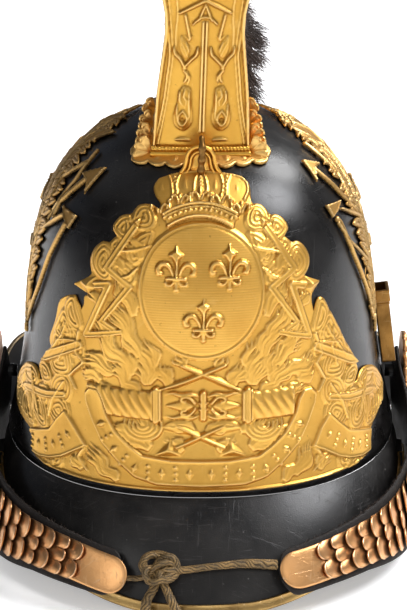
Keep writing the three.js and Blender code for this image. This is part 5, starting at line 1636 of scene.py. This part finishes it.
def addLaurel(relief, seed):
    stem = smoothPath(sideOrnament["stem"], 400)
    length = runLengths(stem)
    relief.stroke(sideOrnament["stem"], 3.0, 1.2, (1, 0.4), base=0.4, edge=True)
    dice = np.random.default_rng(seed)
    leafLength, leafWidth = sideOrnament["leafLength"], sideOrnament["leafWidth"]
    at = length[-1] - 7
    while at > 3:
        i = int(np.searchsorted(length, at))
        run = stem[min(i + 3, 399)] - stem[i - 3]
        angle = math.atan2(run[1], run[0])
        size = 0.55 + 0.45 * math.sin(math.pi * at / length[-1])
        for lean, share, level in ((0.78, 1.0, 0.75), (0.4, 0.86, 1.05)):
            for side in (1, -1):
                addLeaf(relief, *stem[i], angle + side * (lean + dice.uniform(-0.1, 0.12)),
                    leafLength * size * share * dice.uniform(0.92, 1.06), leafWidth * (0.4 + 0.6 * size),
                    level + dice.uniform(-0.12, 0.16))
        addLeaf(relief, *(stem[i] + 1.5), angle + dice.uniform(-0.2, 0.2), leafLength * 0.6 * size,
            leafWidth * 0.8, 1.35)
        at -= sideOrnament["leafStep"]


def addThunder(relief, bolts, heads):
    for points, width in bolts:
        relief.stroke(points, width * 0.56, 0.9, (1, 0.35), "roof", False, True, 0.7, True)
    for head in heads:
        relief.sheet(head, 0.8, 0.4, False, 0.8, 0.45, edge=True)


def makeSideOrnament(node):
    side = -1 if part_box(node)[0][0] < -0.05 else 1
    relief = Relief((48, 52), (180, 195), 0.46)
    addThunder(relief, sideOrnament["rearBolts"], sideOrnament["rearHeads"])
    addLaurel(relief, 12 if side > 0 else 11)
    look = sideOrnament["left" if side < 0 else "right"]
    for blade in look["blades"]:
        relief.sheet(blade, 0.7, 0.5, False, 0.8, 0.5, edge=True)
        relief.stroke([blade[0], blade[-2], blade[3]], 0.9, 0.6, (0.5, 0.5), base=0.8)
    addThunder(relief, look["bolts"], look["heads"])
    layRelief(node + "_relief", relief, lambda across, up: bowlPoint(side * across, up), dullBronze,
        "ornament", sideOrnament["stand"], sideOrnament["thickness"], [node])


makeSideOrnament("side_ornament_left")
makeSideOrnament("side_ornament_right")
print("side ornaments made")


# Plume socket and chin bosses.
def bowlSide(y, z):
    spread = bowlSpread((z - bowl["rim"]) / bowl["height"])
    along = (bowl["front"] if y < 0 else bowl["back"]) * spread
    flank = 1 - abs(y / along) ** bowl["squareness"]
    return bowl["halfWidth"] * spread * flank ** (1 / bowl["squareness"])


def roundedRing(low, high, half, corner, z, count=8):
    ring = []
    for x, y, start in ((high - corner, half - corner, 0), (low + corner, half - corner, 90),
            (low + corner, corner - half, 180), (high - corner, corner - half, 270)):
        for turn in np.radians(np.linspace(start, start + 90, count)):
            ring.append((x + corner * math.cos(turn), y + corner * math.sin(turn), z))
    return ring


socket = {"deep": 7.4, "half": 7.0, "tall": 40.1, "collar": 7.0, "tilt": -7.4, "y": -14, "z": 84.5,
    "wall": 0.8}


def makeSocket():
    deep, half, tall, wall, y = (socket[key] for key in ("deep", "half", "tall", "wall", "y"))
    neck = tall - socket["collar"]
    # how far in the back lies, how far the outline grows, and the height of each ring, from the foot up
    rings = [(0.6, -0.6, 0), (0.2, -0.2, 0.4), (0, 0, 1.0)] + [(0, 0, z) for z in np.linspace(2, neck - 1.4,
        12)]
    rings += [(0, 0.05, neck - 1.2), (0, 0.3, neck - 0.9), (0, 0.3, neck - 0.3), (0.05, -0.05, neck),
        (0.05, -0.05, neck + 0.4), (0, 0.55, neck + 0.7), (0, 0.7, neck + 1.2), (0, 0.7, tall - 1.4),
        (0, 0.85, tall - 1.0), (0, 0.85, tall - 0.3), (0, 0.5, tall)]
    sections = [roundedRing(low, deep + grow, half + grow, 0.7, z) for low, grow, z in rings]
    sections += [roundedRing(wall, deep - wall, half - wall, 0.5, z) for z in (tall, tall - 0.5, tall - 12,
        tall - 30, 3)]
    count = len(sections[0])
    across, along, up = np.array(sections).reshape(-1, 3).T
    cos, sin = math.cos(math.radians(socket["tilt"])), math.sin(math.radians(socket["tilt"]))
    points = np.stack([across * cos + up * sin, along, up * cos - across * sin], -1)
    points += np.array([bowlSide(y, socket["z"]) + 0.6, y, socket["z"]])
    faces = gridFaces(len(sections), count, True).tolist() + [cap[::-1] for cap in ringCaps(len(sections),
        count)]
    makeMesh("plume_socket_tube", points, faces, socketBrass, "socket_brass", ["plume_socket"], sharp=38)


rosette = {"radius": 21, "lobes": 14, "scallop": 2.2, "back": 107.5, "y": 8, "z": 70, "stud": 3.4}


def makeRosette(node):
    side = -1 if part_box(node)[0][0] < 0 else 1
    around, rings = 196, 36
    turn = np.linspace(0, fullTurn, around, endpoint=False)[None, :]
    lobe = np.abs(np.sin(turn * rosette["lobes"] / 2))
    edge = rosette["radius"] - rosette["scallop"] + rosette["scallop"] * np.sqrt(lobe)
    radius = np.linspace(0.02, 1, rings)[:, None] * edge
    profile = np.interp(radius, [0, 3, 5.5, 6.6, 7.2, 9, 11.5, 13, 14, 18, 21],
        [8.6, 8.3, 6.6, 5.4, 5.2, 5.2, 4.3, 2.7, 2.6, 3.0, 2.3])
    petals = 0.9 * (lobe ** 0.6 - 0.5) * np.clip((radius - 12.6) / 2, 0, 1) * np.clip((22 - radius) / 4, 0,
        1)
    beads = 0.45 * np.abs(np.sin(turn * 12)) * np.exp(-((radius - 11.0) / 0.9) ** 2)
    tongues = 0.5 * np.cos(turn * 8) * np.exp(-((radius - 8.6) / 1.3) ** 2)
    height = np.minimum(profile + petals + beads + tongues, 8.8)
    top = np.stack([height, radius * np.cos(turn), radius * np.sin(turn)], -1)
    under = [ring * [0, 1, 1] for ring in top[::-1] if np.hypot(*ring[0, 1:]) > rosette["stud"] + 1]
    grid = np.concatenate([top, under])
    flip = np.array([side, 1, 1])
    points = (grid.reshape(-1, 3) + np.array([rosette["back"], rosette["y"], rosette["z"]])) * flip
    faces = turnedOut(points, gridFaces(len(grid), around, True)[:, ::-1], ringCaps(len(grid), around))
    # The grooves between petals, beads and tongues are painted darker, as grime and painted shade.
    hollow = np.clip((0.3 - petals - beads - tongues) / 0.6, 0, 1).ravel() * 0.8
    recess = np.concatenate([hollow, np.zeros(len(points) - len(hollow))])
    makeMesh(node + "_rosette", points, faces, scaleBrass, "scale_brass", [node], {"recess": recess})
    seat = bowlSide(rosette["y"], rosette["z"] - rosette["stud"]) + 0.3
    line = [(side * x, rosette["y"], rosette["z"]) for x in np.linspace(seat, rosette["back"], 4)]
    makeMesh(node + "_stud", *sweepTube(line, rosette["stud"], 28), bowlLeather, "leather")


makeSocket()
makeRosette("chin_boss_left")
makeRosette("chin_boss_right")
print("socket and bosses made")


# Chin straps: lining, scales and tongues.
strap = {
    "rows": [(103.8, 11, 74, 2, 30), (105.2, -4, 60, 0, 35), (107.6, -23, 46, 0, 40),
             (109.3, -48, 33, 2, 40),
             (105.5, -76, 26.5, 8, 34), (95, -103, 25.6, 16, 27.5), (79, -123.5, 25.2, 24, 21.5),
             (62, -137, 23.2, 29, 19.5), (49, -144.5, 21.4, 31, 18.4), (38, -149.2, 20.4, 32, 18)],
    "firstRow": 26.5, "scaleRows": 18, "tongueLength": 26, "scaleLength": 12.6, "tilt": 0.15,
         "thickness": 0.7,
    "liningEdge": 2.5,
}


def strapTable():
    knots = np.array(strap["rows"], float)[:, :3]
    knots = np.vstack([2 * knots[0] - knots[1], knots, 2 * knots[-1] - knots[-2]])
    places, shares = [], []
    spans = len(strap["rows"]) - 1
    for i in range(spans):
        a, b, c, d = knots[i:i + 4]
        first, middle, last = (math.sqrt(np.linalg.norm(q - p)) for p, q in ((a, b), (b, c), (c, d)))
        leave = ((b - a) / first - (c - a) / (first + middle) + (c - b) / middle) * middle
        arrive = ((c - b) / middle - (d - b) / (middle + last) + (d - c) / last) * middle
        t = np.linspace(0, 1, 101)[(1 if i else 0):, None]
        places.append(b + leave * t + (3 * (c - b) - 2 * leave - arrive) * t ** 2
            + (2 * (b - c) + leave + arrive) * t ** 3)
        shares.append((i + t[:, 0]) / spans)
    return np.vstack(places), np.concatenate(shares)


strapPlaces, strapShares = strapTable()
strapRun = runLengths(strapPlaces)
strapTangents = unit(np.gradient(strapPlaces, axis=0))
strapKnotShares = np.linspace(0, 1, len(strap["rows"]))


def strapValue(along, column):
    share = np.interp(along, strapRun, strapShares)
    return np.interp(share, strapKnotShares, [row[column] for row in strap["rows"]])


def strapPoint(along, across, off):
    along, across, off = np.broadcast_arrays(*(np.asarray(v, float) for v in (along, across, off)))
    past = np.maximum(along - strapRun[-1], 0)[..., None]
    place = np.stack([np.interp(along, strapRun, strapPlaces[:, k]) for k in range(3)], -1)
    tangent = unit(np.stack([np.interp(along, strapRun, strapTangents[:, k]) for k in range(3)], -1))
    outward = unit(np.stack([-tangent[..., 1], tangent[..., 0], 0 * along], -1))
    upright = unit(np.cross(tangent, outward))
    lean = np.radians(strapValue(along, 3))[..., None]
    up = upright * np.cos(lean) - outward * np.sin(lean)
    normal = outward * np.cos(lean) + upright * np.sin(lean)
    return place + tangent * past + up * across[..., None] + normal * off[..., None]


def makeOnSide(name, points, faces, side, *rest, **settings):
    flipped = faces if side > 0 else [face[::-1] for face in faces]
    return makeMesh(name, points * np.array([side, 1, 1]), flipped, *rest, **settings)


def makeLining(side, node, seed):
    steps = 420
    share = np.linspace(0, 1, steps)
    along = share * (strapRun[-1] - 1.5)
    half = strapValue(along, 4) / 2 + strap["liningEdge"]
    narrow = np.sqrt(np.maximum(1 - (np.maximum(share - 0.965, 0) / 0.035) ** 2, 0.12))
    torn = np.random.default_rng(seed).uniform(-1, 1, steps)
    fray = np.convolve(torn, np.ones(3) / 3, "same") * (0.55 if side > 0 else 0.25)
    across = np.array([-1, -0.97, -0.9, -0.6, -0.3, 0, 0.3, 0.6, 0.9, 0.97, 1.0])
    reach = across * (half * narrow)[:, None] + (across > 0.95) * fray[:, None]
    thin = np.where(np.abs(across) > 0.99, 0.45, np.where(np.abs(across) > 0.95, 0.85, 1.0))
    points, faces = sheetSolid(*(strapPoint(along[:, None], reach, off) for off in (thin, -thin)))
    makeOnSide(node + "_leather", points, faces, side, liningLeather, "lining", [node], sharp=60)


# Torn threads along the lining's edge: many on the right, few on the left.
def makeFray(side, seed):
    dice = np.random.default_rng(seed)
    count = 260 if side > 0 else 110
    along = dice.uniform(40, strapRun[-1] - 20, count)
    edge = strapValue(along, 4) / 2 + strap["liningEdge"] - 0.4
    t = np.linspace(0, 1, 5)[None, :]
    reach, drift, curl = (dice.uniform(low, high, count)[:, None] for low,
        high in ((0.8, 2.6), (-2.2, 2.2), (-0.8, 1.4)))
    paths = strapPoint(along[:, None] + drift * t, edge[:, None] + reach * t * (1.1 - 0.3 * t),
        curl * t ** 2)
    points, faces, values = strandTubes(paths * np.array([side, 1, 1]), 0.42, dice.uniform(0, 0.5, count))
    makeMesh("lining_fray_" + ("right" if side > 0 else "left"), points, faces, darkHair, "lining",
        values={"toneAndShade": values})


def makeScale(side, row, node):
    length = strap["scaleLength"]
    pitch = (strapRun[-1] - strap["tongueLength"] - strap["firstRow"]) / strap["scaleRows"]
    start = strap["firstRow"] + row * pitch
    half = float(strapValue(start + length, 4)) / 2
    # rows take turns to have one lobe more
    lobes = (3 if half > 16 else 2) + (strap["scaleRows"] - 1 - row) % 2
    radius = half / lobes
    reach = min(radius, 5)
    lobe = np.linspace(-1, 1, 11)[:-1] * 0.995
    across = np.append(lobe + 2 * np.arange(lobes)[:, None], 2 * lobes - 1.005) + 1  # in lobe radii
    local = (across % 2) - 1
    cross = -half + across * radius
    end = length - reach + reach * np.sqrt(np.clip(1 - local ** 2, 0, 1))
    along = np.concatenate([np.linspace(0, 0.86, 9), [0.9, 0.94, 0.97, 1.0]])[:, None] * end
    dice = np.random.default_rng(row * 7 + (3 if side > 0 else 0))
    knock = dice.uniform(-0.22, 0.22, lobes)[np.minimum((across / 2).astype(int), lobes - 1)]
    past = np.clip(along / length - 0.25, 0, 1) / 0.75
    bulge = (1.25 + knock) * (1 - local ** 2) ** 0.7 * np.sin(np.clip(past, 0, 1) * math.pi * 0.62)
    rim = 0.28 * np.exp(-((end - along - 0.55) / 0.32) ** 2) * (along > length * 0.4)
    lift = 1.5 + strap["tilt"] * along + bulge
    top = strapPoint(start + along, cross, lift + rim + strap["thickness"] * 0.75)
    points, faces = sheetSolid(top, strapPoint(start + along, cross, lift - 0.05))
    # The root of each scale, which lies under the row before it, and the seams between its lobes are
    # painted darker, as shade; its rim is painted lighter, as a highlight.
    seam = np.clip((np.abs(local) - 0.8) / 0.2, 0, 1)
    shadeUnderRow = np.clip(1.15 - (along - pitch * 0.1) / (length * 0.42), 0, 1)
    recess = np.maximum(seam * 0.7, shadeUnderRow)
    raised = np.clip(rim / 0.28, 0, 1) * 0.9
    makeOnSide(node + "_plate", points, faces, side, scaleBrass, "scale_brass", [node], sharp=50,
        values={"recess": np.tile(recess.ravel(), 2), "raised": np.append(raised, np.zeros(raised.size))})


def makeTongue(side, node):
    length = strap["tongueLength"]
    shift, drop = (2.6, -1.6) if side < 0 else (-1.4, 0.6)
    half = float(strapValue(strapRun[-1], 4)) / 2 + 0.3
    straight = length - half + shift
    flank = np.linspace(0, straight, 14)
    outline = [(0, half - i * half / 6) for i in range(12)] + [(x, -half) for x in flank]
    outline += [(straight + half * math.cos(a) * 1.02, half * math.sin(a))
        for a in np.linspace(-math.pi / 2, math.pi / 2, 40)[1:-1]]
    outline = np.array(outline + [(x, half) for x in flank[:0:-1]])
    count = len(outline)
    spine = np.stack([np.clip(outline[:, 0], 4, straight), np.zeros(count)], -1)
    shares = np.array([0, 0.2, 0.4, 0.6, 0.75, 0.84, 0.88, 0.91, 0.94, 0.97, 1.0])
    crownHeight = np.interp(shares, [0, 0.5, 0.8, 0.92, 0.97, 1], [0.9, 0.82, 0.62, 0.42, 0.2, 0.0])
    rings = spine + (outline - spine) * shares[:, None, None]
    along = strapRun[-1] - length + rings[..., 0]
    across = rings[..., 1] + drop * np.clip(rings[..., 0] / length, 0, 1) ** 1.5
    upper = strapPoint(along, across, 1.85 + crownHeight[:, None])
    grid = np.concatenate([upper, strapPoint(along, across, 1.3)[::-1]])
    points = grid.reshape(-1, 3)
    faces = turnedOut(points, gridFaces(len(grid), count, closed=True))
    # The rounded rim of the tongue is painted darker, as grime and painted shade.
    recess = np.append(np.interp(shares, [0.9, 0.97, 1.0], [0, 0.1, 0.5]), np.zeros(len(shares)))
    makeOnSide(node + "_plate", points, faces, side, tongueBrass, "scale_brass", [node], sharp=50,
        values={"recess": np.repeat(recess, count)})


def makeStrap(tag, seed):
    lining = "strap_lining_" + tag
    side = -1 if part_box(lining)[0][0] < -0.05 else 1
    makeLining(side, lining, seed)
    makeFray(side, seed + 1)
    for row in range(strap["scaleRows"]):
        makeScale(side, row, f"scale_{tag}_{row + 1:02d}")
    makeTongue(side, "tongue_" + tag)


makeStrap("left", 21)
makeStrap("right", 31)
print("straps made")


# Floor and light.
studio = {
    "floorTone": ((0.86, 0.86, 0.865, 1), (0.90, 0.90, 0.90, 1)), "floorGlow": 0.39,
    "dim": (0.03, 0.03, 0.032),
    # each soft area of the room: the way it lies, how far it fades and reaches, and its light
    "areas": [((0, -1, 0.12), 0.25, 0.80, (0.46, 0.45, 0.44)),
              ((0, -0.35, 1), 0.66, 0.97, (0.22, 0.22, 0.225)),
              ((0.60, 0.03, 0.80), 0.948, 0.996, (18.0, 18.1, 18.6)),
              ((-0.9, -0.35, 0.02), 0.75, 0.97, (0.10, 0.10, 0.11)),
              ((0.9, -0.35, 0.02), 0.75, 0.97, (0.20, 0.20, 0.205)),
              ((-0.52, 0.42, 0.72), 0.93, 0.99, (0.3, 0.3, 0.31)),
              ((-0.7, 0.7, -0.1), 0.6, 0.95, (0.13, 0.145, 0.18)),
              ((0.7, 0.7, 0.0), 0.6, 0.95, (0.20, 0.20, 0.20))],
    "sunTurn": 137, "sunRise": 46, "sunStrength": 1.3, "sunWidth": 18,
    "panels": [
        ("leftKey", (-0.85, -1.15, 0.95), (0.36, 0.5), 2.7, (1.0, 0.98, 0.95)),
        ("rightKey", (0.72, -1.25, 0.86), (0.3, 0.42), 1.8, (1.0, 0.98, 0.95)),
    ],
}


def aimed(data, place, aim=(0, 0, 0.12)):
    lamp = bpy.data.objects.new(data.name, data)
    lamp.location = place
    lamp.rotation_euler = (Vector(place) - Vector(aim)).to_track_quat("Z", "Y").to_euler()
    bpy.context.scene.collection.objects.link(lamp)


def makeLights():
    for name, place, size, glow, colour in studio["panels"]:
        data = bpy.data.lights.new(name, "AREA")
        data.shape = "RECTANGLE"
        data.size, data.size_y = size
        data.energy = glow * math.pi * size[0] * size[1]
        data.color = colour
        aimed(data, place)
    data = bpy.data.lights.new("softSun", "SUN")
    data.energy = studio["sunStrength"]
    data.angle = math.radians(studio["sunWidth"])
    turn, rise = math.radians(studio["sunTurn"]), math.radians(studio["sunRise"])
    aimed(data, (math.sin(turn) * math.cos(rise), -math.cos(turn) * math.cos(rise), math.sin(rise)),
        (0, 0, 0))


def makeWorld():
    world = bpy.data.worlds.new("studio")
    bpy.context.scene.world = world
    world.use_nodes = True
    tree = world.node_tree
    tree.nodes.clear()
    place = addNode(tree, "ShaderNodeTexCoord").outputs["Generated"]
    glow = (*studio["dim"], 1)
    for way, fades, reaches, light in studio["areas"]:
        towards = tuple(unit(np.array(way, float)))
        turned = addNode(tree, "ShaderNodeVectorMath", {0: place, 1: towards}, operation="DOT_PRODUCT")
        limits = {"Value": turned.outputs["Value"], "From Min": fades, "From Max": reaches}
        share = addNode(tree, "ShaderNodeMapRange", limits,
            interpolation_type="SMOOTHSTEP").outputs["Result"]
        glow = mixColour(tree, share, glow, (*light, 1), "ADD")
    room = addNode(tree, "ShaderNodeBackground", {"Color": glow}).outputs[0]
    white = addNode(tree, "ShaderNodeBackground", {"Color": (1, 1, 1, 1)}).outputs[0]
    seen = addNode(tree, "ShaderNodeLightPath").outputs["Is Camera Ray"]
    mixed = addNode(tree, "ShaderNodeMixShader", {0: seen, 1: room, 2: white}).outputs[0]
    addNode(tree, "ShaderNodeOutputWorld", {"Surface": mixed})


def makeFloor():
    material, tree = newMaterial("paleFloor")
    grey = remap(tree, noiseOf(tree, objectPlace(tree), 3, 3), 0.3, 0.7)
    finishMaterial(material, {"Base Color": mixColour(tree, grey, *studio["floorTone"]), "Roughness": 0.8,
        "Emission Color": (1, 1, 1, 1), "Emission Strength": studio["floorGlow"]})
    mesh = bpy.data.meshes.new("floor")
    mesh.from_pydata([(-4, -3, -0.0005), (4, -3, -0.0005), (4, 5, -0.0005), (-4, 5, -0.0005)], [],
        [(0, 1, 2, 3)])
    mesh.materials.append(material)
    floor = bpy.data.objects.new("floor", mesh)
    bpy.context.scene.collection.objects.link(floor)


makeFloor()
makeWorld()
makeLights()
bpy.context.scene.view_settings.view_transform = "Standard"
print("studio made")
